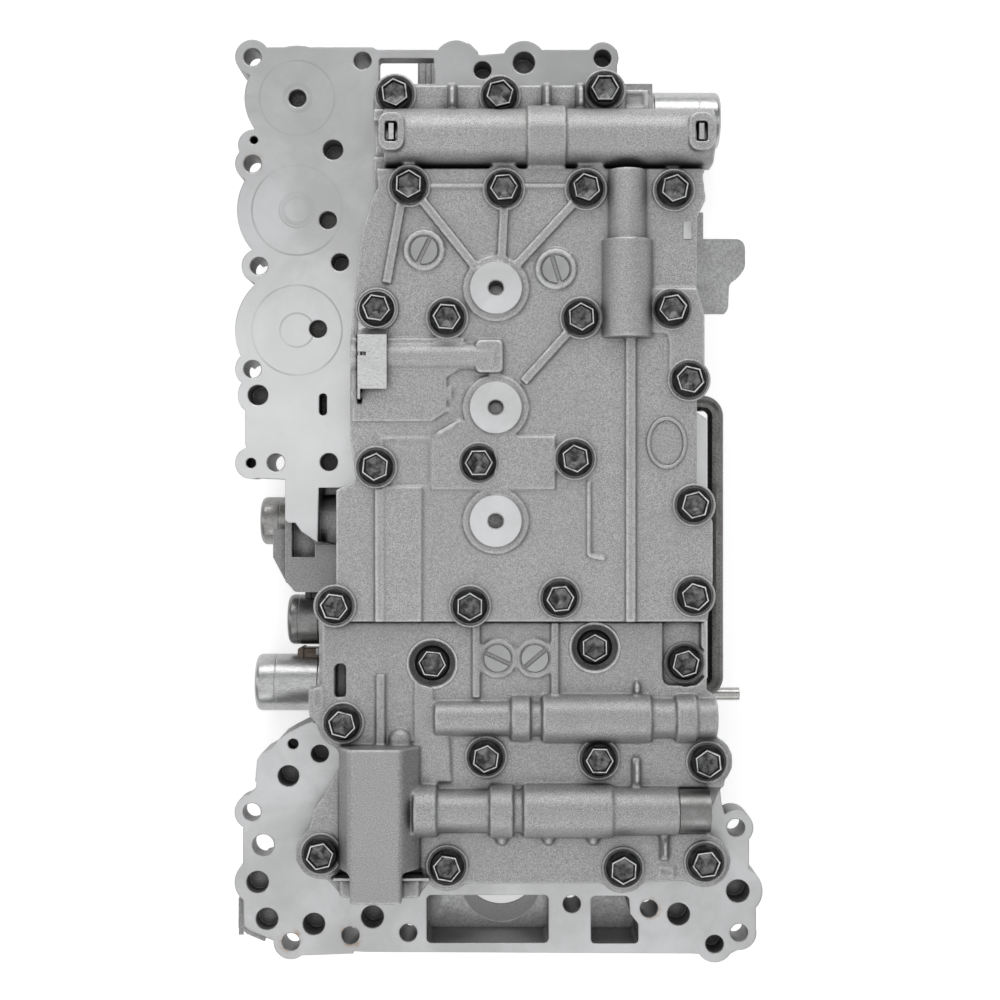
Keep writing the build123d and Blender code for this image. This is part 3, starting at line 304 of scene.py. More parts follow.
def metal_finish(name, tone, warmth=0.0, rough=(0.22, 0.36), grain=(1.0, 1.0, 1.0), grain_scale=900.0,
                 edge_tone=None, metallic=1.0, mottle=0.25, dark=0.6):
    """Bare or treated metal with fine grain, mottling, painted shade in its corners and edges of their own tone."""
    material, tree, shader, place = new_finish(name)
    stretched = add(tree, "ShaderNodeMapping", {"Vector": place, "Scale": grain}).outputs[0]
    lines = noise(tree, stretched, grain_scale, 3.0, 0.6)
    cloud = noise(tree, place, 110.0, 4.0, 0.6)
    rounded, edge = soft_edges(tree, 0.0003)
    colour = tint(tree, spread(tree, lines, 0.30, 0.70), grey(tone * dark, warmth), grey(tone * 1.15, warmth))
    colour = tint(tree, spread(tree, cloud, 0.42, 0.70, 0.0, mottle), colour, grey(tone * 0.5, warmth + 0.03))
    # Painted shade: corners are darkened by ambient occlusion.
    corners = add(tree, "ShaderNodeAmbientOcclusion", {"Distance": 0.002}, samples=3).outputs["AO"]
    colour = tint(tree, spread(tree, corners, 0.75, 0.30, 0.0, 0.5), colour, grey(tone * 0.25, 0.02))
    if edge_tone:
        worn = times(tree, edge, spread(tree, noise(tree, place, 700.0, 3.0), 0.30, 0.60, 0.2, 0.95))
        colour = tint(tree, worn, colour, grey(edge_tone))
    set_surface(tree, shader, colour, spread(tree, cloud, 0.3, 0.7, *rough), metallic,
                Strength=0.25, Distance=0.0001, Height=lines, Normal=rounded)
    return material


def bolt_finish(name):
    """Black phosphated steel; the rim, marked on the mesh, shows rubbed bare metal and a painted highlight, and the
    dish is paler, with painted glints.
    """
    material, tree, shader, place = new_finish(name)
    fine = noise(tree, place, 2400.0, 3.0, 0.6)
    cloud = noise(tree, place, 340.0, 4.0, 0.6)
    # The rim mark is partly rubbed bare metal and partly a painted highlight.
    rub = times(tree, mark_on_mesh(tree, "rubbed"), spread(tree, cloud, 0.30, 0.55, 0.45, 1.0))
    colour = tint(tree, spread(tree, fine, 0.3, 0.7), grey(0.008), grey(0.026))
    colour = tint(tree, spread(tree, cloud, 0.50, 0.72, 0.0, 0.5), colour, grey(0.055))
    # The dish: a paler tone, with painted glints in its cloudy light patches.
    dish_tone_and_glint = tint(tree, spread(tree, cloud, 0.35, 0.66), grey(0.045), grey(0.19))
    colour = tint(tree, times(tree, mark_on_mesh(tree, "dish"), 0.9), colour, dish_tone_and_glint)
    colour = tint(tree, rub, colour, grey(0.62))
    rough = spread(tree, rub, 0.0, 1.0, spread(tree, cloud, 0.3, 0.7, 0.28, 0.44), 0.26, smooth=False)
    set_surface(tree, shader, colour, rough, 0.85, Strength=0.35, Distance=0.00008, Height=fine)
    return material


def plastic_finish(name, colour):
    """Moulded connector plastic with a fine spark-eroded grain and a painted highlight on its edges."""
    material, tree, shader, place = new_finish(name)
    grain = noise(tree, place, 3200.0, 3.0, 0.6)
    cloud = noise(tree, place, 160.0, 4.0)
    pale = tuple(min(1.0, c * 1.9 + 0.01) for c in colour)
    mixed = tint(tree, spread(tree, cloud, 0.35, 0.75, 0.0, 0.35), (*colour, 1.0), (*pale, 1.0))
    rounded, edge = soft_edges(tree, 0.0003)
    # Painted highlight: the edges are lightened.
    mixed = tint(tree, times(tree, edge, 0.35), mixed, (*pale, 1.0))
    set_surface(tree, shader, mixed, spread(tree, grain, 0.2, 0.8, 0.36, 0.52), 0.0,
                Strength=0.3, Distance=0.0001, Height=grain, Normal=rounded)
    return material


WING_STAINS = [(62.2, -168.4, 3.1), (-61.2, -179.5, 3.2), (-85.8, -182.2, 3.2), (-101.7, 139.4, 2.9)]
WING_RINGS = [
    (-83.3, 120.2, 7.25), (-83.3, 120.2, 6.1), (-83.3, 120.2, 5.2), (-83.3, 120.2, 18.6), (-83.1, 166.5, 5.9),
    (-83.1, 166.5, 5.1), (-83.3, 166.5, 15.5), (-83.3, 70.6, 18.6), (-83.3, 70.6, 7.0),
]
middle_cast = casting_finish("milled_case_face_on_casting", 0.30, [(CASE_FACE - 0.05, CASE_FACE + 0.05)], 0.50,
                             stains=WING_STAINS, rings=WING_RINGS)
lower_cast = casting_finish("lower_casting", 0.30, [(-0.05, 0.05), (29.95, 30.05)], 0.46)
front_cast = casting_finish("front_casting", 0.375, skin=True)
rear_cast = casting_finish("rear_casting", 0.345, skin=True)
front_rim_cast = casting_finish("front_spot_faces", 0.40, edge_radius=0.0005)
rear_rim_cast = casting_finish("rear_spot_faces", 0.36, edge_radius=0.0005)
# Painted light: the recess walls get a lighter copy of the casting's tone, to offset the shade in the recesses.
recess_lightened_cast = casting_finish("cast_recess_wall_lightened", 0.44)
cover_cast = casting_finish("cover_casting", 0.30)
milled_pad = casting_finish("milled_pad", 0.40, [(50.0, 90.0)], 0.58, edge_radius=0.0003)
sheet_steel = metal_finish("separator_sheet", 0.40, rough=(0.30, 0.44), grain_scale=1200.0, edge_tone=0.62, dark=0.75,
                           metallic=0.9)
bright_sheet = metal_finish("bright_bent_sheet", 0.60, rough=(0.26, 0.36), grain=(1.0, 12.0, 1.0), edge_tone=0.78,
                            mottle=0.12, metallic=0.9)
can_steel = metal_finish("satin_can", 0.50, rough=(0.26, 0.36), grain=(1.0, 14.0, 14.0), grain_scale=500.0,
                         edge_tone=0.70, mottle=0.15)
dark_can_steel = metal_finish("dark_satin_can", 0.24, warmth=0.01, rough=(0.28, 0.40), grain=(1.0, 14.0, 14.0),
                              grain_scale=500.0, edge_tone=0.5, mottle=0.35)
warm_can_steel = metal_finish("warm_satin_can", 0.33, warmth=0.02, rough=(0.30, 0.42), grain=(1.0, 14.0, 14.0),
                              grain_scale=500.0, edge_tone=0.6, mottle=0.35)
black_steel = metal_finish("black_steel", 0.030, rough=(0.36, 0.50), grain_scale=1800.0, edge_tone=0.16, metallic=0.8)
pipe_steel = metal_finish("oil_pipe_steel", 0.17, warmth=0.02, rough=(0.24, 0.36), grain_scale=1500.0, mottle=0.5)
pin_steel = metal_finish("ground_pin", 0.46, warmth=0.02, rough=(0.20, 0.30), grain=(1.0, 12.0, 12.0), edge_tone=0.62)
plug_metal = metal_finish("turned_plug", 0.46, warmth=0.01, rough=(0.26, 0.38), grain=(14.0, 1.0, 1.0),
                          edge_tone=0.66, metallic=0.95)
dull_plug_metal = metal_finish("dull_plug", 0.27, warmth=0.01, rough=(0.34, 0.46), grain=(14.0, 1.0, 1.0),
                               edge_tone=0.5, mottle=0.4)
# Painted shade: the accumulator pistons are darkened because they sit in shade deep in their bores.
dark_piston = metal_finish("dark_piston", 0.07, warmth=0.02, rough=(0.34, 0.48), edge_tone=0.3, metallic=0.8)
valve_metal = metal_finish("anodised_valve", 0.42, warmth=0.01, rough=(0.22, 0.32), grain=(1.0, 10.0, 1.0),
                           edge_tone=0.6)
spring_wire = metal_finish("spring_wire", 0.22, warmth=0.03, rough=(0.24, 0.34), grain_scale=2200.0, metallic=1.0)
bolt_black = bolt_finish("phosphated_flange_bolt")
plug_disc_metal = casting_finish("slotted_plug_disc", 0.33, [(60.0, 90.0)], 0.36, edge_radius=0.0003)
black_plastic = plastic_finish("black_connector", (0.018, 0.018, 0.020))
brown_plastic = plastic_finish("brown_connector", (0.075, 0.050, 0.034))

NODE_FINISH = {
    "middle_body": middle_cast, "lower_body": lower_cast, "front_valve_body": front_cast,
    "rear_valve_body": rear_cast, "accumulator_cover": cover_cast, "upper_separator": sheet_steel,
    "lower_separator": sheet_steel, "retainer_bracket": bright_sheet, "oil_pipe": pipe_steel, "side_pin": pin_steel,
    "primary_key": bright_sheet, "secondary_key": bright_sheet, "shift_key": sheet_steel,
    "control_retainer": sheet_steel, "front_body_bolts": bolt_black, "rear_body_bolts": bolt_black,
    "lower_body_bolts": bolt_black, "accumulator_cover_bolts": bolt_black,
}


def finish_for(name):
    """The finish of a CAD node by its name."""
    if name in NODE_FINISH:
        return NODE_FINISH[name]
    if name.endswith("_solenoid"):
        return can_steel
    if name.endswith("_spring"):
        return spring_wire
    if name == "sequence_plug":
        return dull_plug_metal
    if name.endswith("_accumulator_piston"):
        return dark_piston
    if name.endswith(("_plug", "_cap")):
        return plug_metal
    return valve_metal


for name, node in frame["nodes"].items():
    node.data.materials.clear()
    node.data.materials.append(finish_for(name))


# Piece helpers

def put_in_scene(name, data):
    """A new object in the scene."""
    item = bpy.data.objects.new(name, data)
    bpy.context.scene.collection.objects.link(item)
    return item


def keep_piece(name, mesh, material, body, replaced=()):
    """A finished mesh becomes a piece that rides on a body."""
    piece = put_in_scene(name, mesh)
    mesh.materials.clear()
    mesh.materials.append(material)
    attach(piece, body)
    if replaced:
        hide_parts(*replaced)
    return piece


def worked(mesh, step):
    """The mesh after a call that changes it as a bmesh."""
    work = bmesh.new()
    work.from_mesh(mesh)
    step(work)
    work.to_mesh(mesh)
    work.free()
    return mesh


def made_mesh(name, step):
    """A mesh made by a call that fills an empty bmesh."""
    return worked(bpy.data.meshes.new(name), step)


def smooth_shade(mesh, sharp_from=None):
    """Smooth shading, with sharp edges from an angle in degrees on if one is given."""
    for polygon in mesh.polygons:
        polygon.use_smooth = True
    if sharp_from:
        mesh.set_sharp_from_angle(angle=math.radians(sharp_from))


def merged_copy(node_name):
    """A CAD node's mesh as one joined surface."""
    return worked(frame["nodes"][node_name].data.copy(),
                  lambda work: bmesh.ops.remove_doubles(work, verts=work.verts, dist=WELD))


def evaluated_mesh(source):
    """The source object with its modifiers applied, as a mesh of its own; the source goes."""
    graph = bpy.context.evaluated_depsgraph_get()
    mesh = bpy.data.meshes.new_from_object(source.evaluated_get(graph))
    bpy.data.objects.remove(source)
    return mesh


def island_centres(node_name):
    """Middle of each separate solid of a CAD node, with its lowest and highest point."""
    mesh = merged_copy(node_name)
    work = bmesh.new()
    work.from_mesh(mesh)
    bpy.data.meshes.remove(mesh)
    seen, found = set(), []
    for start in work.verts:
        if start in seen:
            continue
        stack, island = [start], []
        seen.add(start)
        while stack:
            vertex = stack.pop()
            island.append(vertex.co.copy())
            for edge in vertex.link_edges:
                other = edge.other_vert(vertex)
                if other not in seen:
                    seen.add(other)
                    stack.append(other)
        low = Vector([min(c[i] for c in island) for i in range(3)])
        high = Vector([max(c[i] for c in island) for i in range(3)])
        found.append(((low + high) / 2, low, high))
    work.free()
    return found


# Geometry node trees

def start_tree(name, inputs):
    """A Geometry Nodes tree with a geometry going through it, and named inputs."""
    tree = bpy.data.node_groups.new(name, "GeometryNodeTree")
    tree.interface.new_socket("Geometry", in_out="INPUT", socket_type="NodeSocketGeometry")
    tree.interface.new_socket("Geometry", in_out="OUTPUT", socket_type="NodeSocketGeometry")
    for label, kind, value in inputs:
        socket = tree.interface.new_socket(label, in_out="INPUT", socket_type=kind)
        if value is not None:
            socket.default_value = value
    return tree, tree.nodes.new("NodeGroupInput").outputs, tree.nodes.new("NodeGroupOutput").inputs


def end_tree(tree, geometry, material_socket, output):
    """Realises the instances and gives them the material."""
    real = add(tree, "GeometryNodeRealizeInstances", {"Geometry": geometry}).outputs[0]
    done = add(tree, "GeometryNodeSetMaterial", {"Geometry": real, "Material": material_socket}).outputs[0]
    tree.links.new(done, output["Geometry"])


def grown(tree, base, values):
    """The mesh that a tree makes from a base mesh."""
    source = put_in_scene("seed_for_" + tree.name, base)
    modifier = source.modifiers.new("grow", "NODES")
    modifier.node_group = tree
    for item in tree.interface.items_tree:
        if item.item_type == "SOCKET" and item.in_out == "INPUT" and item.name in values:
            modifier[item.identifier] = values[item.name]
    return evaluated_mesh(source)


def points_mesh(name, places, turns=None):
    """Loose points, with a turn for each in radians."""
    mesh = bpy.data.meshes.new(name)
    mesh.from_pydata([tuple(p) for p in places], [], [])
    turn = mesh.attributes.new("turn", "FLOAT", "POINT")
    for i, value in enumerate(turns or [0.0] * len(places)):
        turn.data[i].value = value
    return mesh


def here(tree):
    """The X, Y and Z of each point."""
    return vector_parts(tree, add(tree, "GeometryNodeInputPosition").outputs[0])


def off_axis(tree, part):
    """How far a point is from the upright axis."""
    squares = times(tree, part["X"], part["X"]), times(tree, part["Y"], part["Y"])
    return maths(tree, "SQRT", maths(tree, "ADD", *squares))


def moved(tree, geometry, place):
    """The geometry with its points put at a place."""
    return add(tree, "GeometryNodeSetPosition", {"Geometry": geometry, "Position": place}).outputs[0]


def named(tree, name):
    """A number that the points carry."""
    return add(tree, "GeometryNodeInputNamedAttribute", {"Name": name}, data_type="FLOAT").outputs["Attribute"]


def with_mark(tree, geometry, name, value):
    """The geometry with a number for each point under a name."""
    inputs = {"Geometry": geometry, "Name": name, "Value": value}
    return add(tree, "GeometryNodeStoreNamedAttribute", inputs, data_type="FLOAT", domain="POINT").outputs[0]


def profile_ring(tree, profile, sides):
    """The geometry of a closed turned form: a profile of (radius, height) steps swept round the Z axis."""
    line = add(tree, "GeometryNodeCurvePrimitiveLine")
    count = len(profile)
    dense = add(tree, "GeometryNodeResampleCurve", {"Curve": line.outputs[0], "Count": count})
    index = add(tree, "GeometryNodeInputIndex").outputs[0]
    radius = add(tree, "GeometryNodeIndexSwitch", data_type="FLOAT")
    height = add(tree, "GeometryNodeIndexSwitch", data_type="FLOAT")
    for switch in (radius, height):
        while len(switch.index_switch_items) < count:
            switch.index_switch_items.new()
        tree.links.new(index, switch.inputs[0])
    for i, (r, h) in enumerate(profile):
        for switch, value in ((radius, r), (height, h)):
            if isinstance(value, bpy.types.NodeSocket):
                tree.links.new(value, switch.inputs[i + 1])
            else:
                switch.inputs[i + 1].default_value = value
    shaped = moved(tree, dense.outputs[0], vector_of(tree, radius.outputs[0], 0.0, height.outputs[0]))
    rows = add(tree, "GeometryNodeCurveToMesh", {"Curve": shaped}).outputs[0]
    size = {"Size X": 1.0, "Size Y": 1.0, "Vertices X": sides + 1, "Vertices Y": count}
    grid = add(tree, "GeometryNodeMeshGrid", size).outputs[0]
    number = add(tree, "GeometryNodeInputIndex").outputs[0]
    column = maths(tree, "FLOOR", maths(tree, "DIVIDE", maths(tree, "ADD", number, 0.5), float(count)))
    row = maths(tree, "ROUND", maths(tree, "SUBTRACT", number, times(tree, column, float(count))))
    point = add(tree, "GeometryNodeInputPosition").outputs[0]
    sampled = add(tree, "GeometryNodeSampleIndex", {"Geometry": rows, "Value": point, "Index": row},
                  data_type="FLOAT_VECTOR", domain="POINT").outputs[0]
    part = vector_parts(tree, sampled)
    angle = times(tree, column, 2 * math.pi / sides)
    swept = moved(tree, grid, vector_of(tree, times(tree, part["X"], maths(tree, "COSINE", angle)),
                                        times(tree, part["X"], maths(tree, "SINE", angle)), part["Z"]))
    return add(tree, "GeometryNodeMergeByDistance", {"Geometry": swept, "Distance": 0.000004}).outputs[0]


def hex_pull(tree, geometry, bottom, least):
    """Pulls what is above a height and outside a radius from round to six-sided."""
    part = here(tree)
    sixth = math.pi / 3
    angle = maths(tree, "ARCTAN2", part["Y"], part["X"])
    folded = maths(tree, "SUBTRACT", maths(tree, "FLOORED_MODULO", angle, sixth), sixth / 2)
    flat = maths(tree, "DIVIDE", math.cos(sixth / 2), maths(tree, "COSINE", folded))
    above = maths(tree, "GREATER_THAN", part["Z"], bottom)
    pull = times(tree, above, maths(tree, "GREATER_THAN", off_axis(tree, part), least))
    factor = maths(tree, "ADD", times(tree, pull, maths(tree, "SUBTRACT", flat, 1.0)), 1.0)
    return moved(tree, geometry, vector_of(tree, times(tree, part["X"], factor), times(tree, part["Y"], factor),
                                           part["Z"]))


def scatter(tree, points, instance, flip=0.0, scale=(1.0, 1.0, 1.0)):
    """The instance on every point, turned about the upright axis by the point's own turn."""
    inputs = {"Points": points, "Instance": instance, "Scale": scale,
              "Rotation": vector_of(tree, flip, 0.0, named(tree, "turn"))}
    return add(tree, "GeometryNodeInstanceOnPoints", inputs).outputs[0]


def turned_tree(name, profile, sides):
    """A turned form on every point. Its profile is in millimetres."""
    tree, given, output = start_tree(name, [("Material", "NodeSocketMaterial", None)])
    form = profile_ring(tree, [(r * MM, h * MM) for r, h in profile], sides)
    end_tree(tree, scatter(tree, given["Geometry"], form), given["Material"], output)
    return tree


def turned_piece(name, profile, sides, places, material, smooth=False):
    """A piece of turned forms, one at each place in millimetres."""
    points = points_mesh(name + "_places", [(x * MM, y * MM, z * MM) for x, y, z in places])
    mesh = grown(turned_tree(name + "_tree", profile, sides), points, {"Material": material})
    if smooth:
        smooth_shade(mesh)
    keep_piece(name, mesh, material, "housing")


# Bolts

def flange_bolt_tree():
    """Flange bolts: a round flange, a six-sided head with a thin rim marked as rubbed metal and painted highlight, a
    deep dish, and a shank.
    """
    tree, given, output = start_tree("flange_bolts", [
        ("Flange Radius", "NodeSocketFloat", 7.1 * MM), ("Corner Radius", "NodeSocketFloat", 5.77 * MM),
        ("Head Height", "NodeSocketFloat", 5.0 * MM), ("Shank Radius", "NodeSocketFloat", 3.0 * MM),
        ("Flip", "NodeSocketFloat", 0.0), ("Material", "NodeSocketMaterial", None),
    ])
    flange, corner, head = given["Flange Radius"], given["Corner Radius"], given["Head Height"]

    def out(base, amount):
        return maths(tree, "ADD", base, amount * MM)

    profile = [
        (0.0, 0.0), (out(flange, -0.25), 0.0), (flange, 0.25 * MM), (flange, 0.75 * MM),
        (out(flange, -0.35), 1.05 * MM),
        (out(corner, 0.35), 1.55 * MM), (corner, 1.75 * MM), (corner, out(head, -0.5)),
        (out(corner, -0.16), out(head, -0.14)),
        (out(corner, -0.30), head), (out(corner, -0.66), head), (out(corner, -0.86), out(head, -0.3)),
        (out(corner, -1.35), out(head, -1.7)), (out(corner, -3.3), out(head, -2.3)),
        (out(corner, -4.6), out(head, -2.9)),
        (0.0, out(head, -3.1)),
    ]
    head_form = profile_ring(tree, profile, 48)
    head_form = hex_pull(tree, head_form, 1.65 * MM, 0.2 * MM)
    part = here(tree)

    def between(low, high):
        return times(tree, maths(tree, "GREATER_THAN", part["Z"], low), maths(tree, "LESS_THAN", part["Z"], high))

    # The rim, and faintly the flange's bevel, carry the rubbed mark: worn metal and a painted highlight.
    rim = maths(tree, "GREATER_THAN", part["Z"], out(head, -0.18))
    rim = greatest(tree, rim, times(tree, between(0.60 * MM, 0.90 * MM), 0.10))
    inside = maths(tree, "LESS_THAN", off_axis(tree, part), out(corner, -1.0))
    dish = times(tree, between(out(head, -3.2), out(head, -1.2)), inside)
    head_form = with_mark(tree, with_mark(tree, head_form, "rubbed", rim), "dish", dish)
    heads = scatter(tree, given["Geometry"], head_form, flip=given["Flip"])
    shaft = given["Shank Radius"]
    shank = profile_ring(tree, [(0.0, -1.0), (2.5 * MM, -1.0), (shaft, -0.96), (shaft, 0.02), (0.0, 0.02)], 24)
    size = vector_of(tree, 1.0, 1.0, named(tree, "reach"))
    shanks = scatter(tree, given["Geometry"], shank, scale=size, flip=given["Flip"])
    joined = add(tree, "GeometryNodeJoinGeometry")
    tree.links.new(heads, joined.inputs[0])
    tree.links.new(shanks, joined.inputs[0])
    end_tree(tree, joined.outputs[0], given["Material"], output)
    return tree


BOLT_TREE = flange_bolt_tree()


def grow_bolts(node_name, seed):
    """Detailed bolts in place of one node of plain ones, each at its own turn."""
    found = island_centres(node_name)
    below = node_name in ("lower_body_bolts", "accumulator_cover_bolts")
    places, reaches, turns = [], [], []
    for i, (middle, low, high) in enumerate(found):
        seat = low.z + BOLT_HEAD if below else high.z - BOLT_HEAD
        places.append((middle.x, middle.y, seat))
        reaches.append(high.z - seat if below else seat - low.z)
        turns.append(((i * 37 + seed * 17) % 60) / 60.0 * math.pi / 3)
    base = points_mesh("places_of_" + node_name, places, turns)
    reach = base.attributes.new("reach", "FLOAT", "POINT")
    for i, value in enumerate(reaches):
        reach.data[i].value = value
    mesh = grown(BOLT_TREE, base, {"Flip": math.pi if below else 0.0, "Material": bolt_black})
    mesh.name = node_name + "_detailed"
    keep_piece(node_name + "_detailed", mesh, bolt_black, "housing", [node_name])
    return found


bolt_groups = {name: grow_bolts(name, i) for i, name in enumerate(
    ("front_body_bolts", "rear_body_bolts", "lower_body_bolts", "accumulator_cover_bolts"))}


# Raised rims of the spot faces that the upper bolts stand in, and of the recesses

def spot_face_tree():
    """A low round rim with a groove inside it, on every bolt place."""
    tree, given, output = start_tree("spot_face_rims", [
        ("Inner Radius", "NodeSocketFloat", 7.45 * MM), ("Outer Radius", "NodeSocketFloat", 8.75 * MM),
        ("Rise", "NodeSocketFloat", 0.45 * MM), ("Material", "NodeSocketMaterial", None),
    ])
    inner, outer, rise = given["Inner Radius"], given["Outer Radius"], given["Rise"]
    middle = times(tree, maths(tree, "ADD", inner, outer), 0.5)
    base = -0.5 * MM
    profile = [
        (inner, base), (outer, base), (outer, 0.0), (maths(tree, "ADD", outer, -0.25 * MM), times(tree, rise, 0.8)),
        (middle, rise), (maths(tree, "ADD", inner, 0.2 * MM), times(tree, rise, 0.7)), (inner, base),
    ]
    end_tree(tree, scatter(tree, given["Geometry"], profile_ring(tree, profile, 48)), given["Material"], output)
    return tree


SPOT_FACE_TREE = spot_face_tree()


def ring_the_bolts(node_name, material):
    """The rims round one group of upper bolts."""
    places = [(middle.x, middle.y, high.z - BOLT_HEAD) for middle, low, high in bolt_groups[node_name]]
    mesh = grown(SPOT_FACE_TREE, points_mesh("rims_of_" + node_name, places), {"Material": material})
    smooth_shade(mesh)
    keep_piece("spot_face_rims_" + node_name.split("_")[0], mesh, material, "housing")


ring_the_bolts("front_body_bolts", front_rim_cast)
ring_the_bolts("rear_body_bolts", rear_rim_cast)
RECESS_DISH = [
    (7.2, -4.6), (10.2, -4.6), (10.7, -0.4), (10.6, 0.2), (10.1, 0.55), (9.6, 0.35), (9.2, -0.5), (8.7, -1.6),
    (8.1, -2.3), (7.3, -2.7), (7.2, -4.6),
]
turned_piece("recess_rims", RECESS_DISH, 64, [(x, y, REAR_TOP) for x, y in RECESSES], recess_lightened_cast,
             smooth=True)


# Springs

def coil_tree():
    """A compression spring: a wire wound round an upright axis, its end turns closed up."""
    tree, given, output = start_tree("coil_spring", [
        ("Outer Radius", "NodeSocketFloat", 5.0 * MM), ("Wire Radius", "NodeSocketFloat", 0.5 * MM),
        ("Length", "NodeSocketFloat", 30.0 * MM), ("Turns", "NodeSocketFloat", 9.0), ("Steps", "NodeSocketInt", 260),
        ("Material", "NodeSocketMaterial", None),
    ])
    line = add(tree, "GeometryNodeCurvePrimitiveLine").outputs[0]
    line = add(tree, "GeometryNodeResampleCurve", {"Curve": line, "Count": given["Steps"]}).outputs[0]
    share = add(tree, "GeometryNodeSplineParameter").outputs["Factor"]
    angle = times(tree, share, times(tree, given["Turns"], 2 * math.pi))
    radius = maths(tree, "SUBTRACT", given["Outer Radius"], given["Wire Radius"])
    climb = maths(tree, "SUBTRACT", given["Length"], times(tree, given["Wire Radius"], 2.0))
    height = maths(tree, "ADD", given["Wire Radius"], times(tree, spread(tree, share, 0.0, 1.0), climb))
    helix = moved(tree, line, vector_of(tree, times(tree, radius, maths(tree, "COSINE", angle)),
                                        times(tree, radius, maths(tree, "SINE", angle)), height))
    wire = add(tree, "GeometryNodeCurvePrimitiveCircle",
               {"Resolution": 10, "Radius": given["Wire Radius"]}).outputs[0]
    swept = add(tree, "GeometryNodeCurveToMesh",
                {"Curve": helix, "Profile Curve": wire, "Fill Caps": True}).outputs[0]
    end_tree(tree, swept, given["Material"], output)
    return tree


COIL_TREE = coil_tree()


def body_with(node_name):
    """The body that a node rides on."""
    for body, members in frame["record"]["behaviour"]["bodies"].items():
        if node_name in members:
            return body
    return "housing"


def wind_spring(node_name):
    """A coil spring in the place of a plain tube."""
    low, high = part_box(node_name)
    size = high - low
    least, middle, most = sorted(size)
    axis = list(size).index(most if abs(least - middle) < abs(middle - most) else least)
    outer = min(size[i] for i in range(3) if i != axis) / 2 * 0.985
    wire = max(0.35 * MM, outer * 0.11)
    turns = max(5.0, round(size[axis] / (wire * 4.4)) + 0.5)
    mesh = grown(COIL_TREE, bpy.data.meshes.new("blank"), {
        "Outer Radius": outer, "Wire Radius": wire, "Length": size[axis], "Turns": turns,
        "Steps": int(turns * 28), "Material": spring_wire,
    })
    turn = {0: Matrix.Rotation(math.pi / 2, 4, "Y"), 1: Matrix.Rotation(-math.pi / 2, 4, "X"),
            2: Matrix.Identity(4)}[axis]
    start = (low + high) / 2
    start[axis] = low[axis]
    mesh.transform(Matrix.Translation(start) @ turn)
    stem = node_name[:-len("_spring")]
    mover = stem + "_valve" if stem + "_valve" in frame["nodes"] else stem + "_piston"
    body = body_with(mover)
    mesh.name = node_name + "_coil"
    piece = put_in_scene(node_name + "_coil", mesh)
    mesh.materials.clear()
    mesh.materials.append(spring_wire)
    far = (low + high) / 2
    near = far.copy()
    mover_low, mover_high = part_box(mover)
    toward = 1.0 if (mover_low + mover_high)[axis] / 2 > far[axis] else -1.0
    near[axis] -= toward * (size[axis] / 2 - 2.5 * wire)
    far[axis] += toward * (size[axis] / 2 - 2.5 * wire)
    if body == "housing":
        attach(piece, "housing")
    else:
        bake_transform(piece)
    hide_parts(node_name)


for name in sorted(frame["nodes"]):
    if name.endswith("_spring"):
        wind_spring(name)


# Rounded castings

def corner_marks(mesh, reach=0.15, passes=2):
    """How far each point of a skin is on a crown or in a hollow, from its neighbours."""
    count = len(mesh.vertices)

    def read(label):
        values = np.empty(count * 3)
        mesh.vertices.foreach_get(label, values)
        return values.reshape(count, 3)

    places, normals = read("co"), read("normal")
    pairs = np.empty(len(mesh.edges) * 2, dtype=np.int64)
    mesh.edges.foreach_get("vertices", pairs)
    first, second = pairs.reshape(-1, 2).T
    valence = np.maximum(np.bincount(first, minlength=count) + np.bincount(second, minlength=count), 1)

    def around(values):
        return (np.bincount(first, values[second], count) + np.bincount(second, values[first], count)) / valence

    lean = sum((around(places[:, i]) - places[:, i]) * normals[:, i] for i in range(3))
    bend = lean / np.linalg.norm(places[first] - places[second], axis=1).mean()
    for _ in range(passes):
        bend = (bend + around(bend)) / 2
    crown = np.clip((-bend - 0.03) / reach, 0.0, 1.0)
    hollow = np.clip((bend - 0.03) / reach, 0.0, 1.0)
    return places, crown, hollow


def carry_marks(places, crown, hollow, mesh):
    """Gives every point of the thinned skin the marks of the nearest point of the full one."""
    tree = KDTree(len(places))
    for i, place in enumerate(places):
        tree.insert(place, i)
    tree.balance()
    nearest = [tree.find(vertex.co)[1] for vertex in mesh.vertices]
    for name, values in (("crown", crown), ("hollow", hollow)):
        mark = mesh.attributes.new(name, "FLOAT", "POINT")
        mark.data.foreach_set("value", values[nearest].astype(np.float32))


def rounded_casting(node_name, material, passes, keep_share, add_forms):
    """A casting with the soft corners and fillets of a die casting, in place of its sharp CAD form.
    The call add_forms puts small cast forms on the blank first."""
    source = put_in_scene("blank_" + node_name, worked(merged_copy(node_name), add_forms))
    remesh = source.modifiers.new("skin", "REMESH")
    remesh.mode = "VOXEL"
    remesh.voxel_size = SKIN_VOXEL
    smooth = source.modifiers.new("soften", "SMOOTH")
    smooth.factor = 0.5
    smooth.iterations = passes
    full = evaluated_mesh(source)
    marks = corner_marks(full)
    source = put_in_scene("full_" + node_name, full)
    source.modifiers.new("thin", "DECIMATE").ratio = keep_share
    skin = evaluated_mesh(source)
    carry_marks(*marks, skin)
    smooth_shade(skin)
    skin.name = node_name + "_skin"
    keep_piece(node_name + "_skin", skin, material, "housing", [node_name])


def circle(x, y, radius, sides, across=None):
    """Points (x, y) of a circle, or of an oval with its own half length along Y."""
    turns = [2 * math.pi * i / sides for i in range(sides)]
    return [(x + radius * math.cos(a), y + (across or radius) * math.sin(a)) for a in turns]


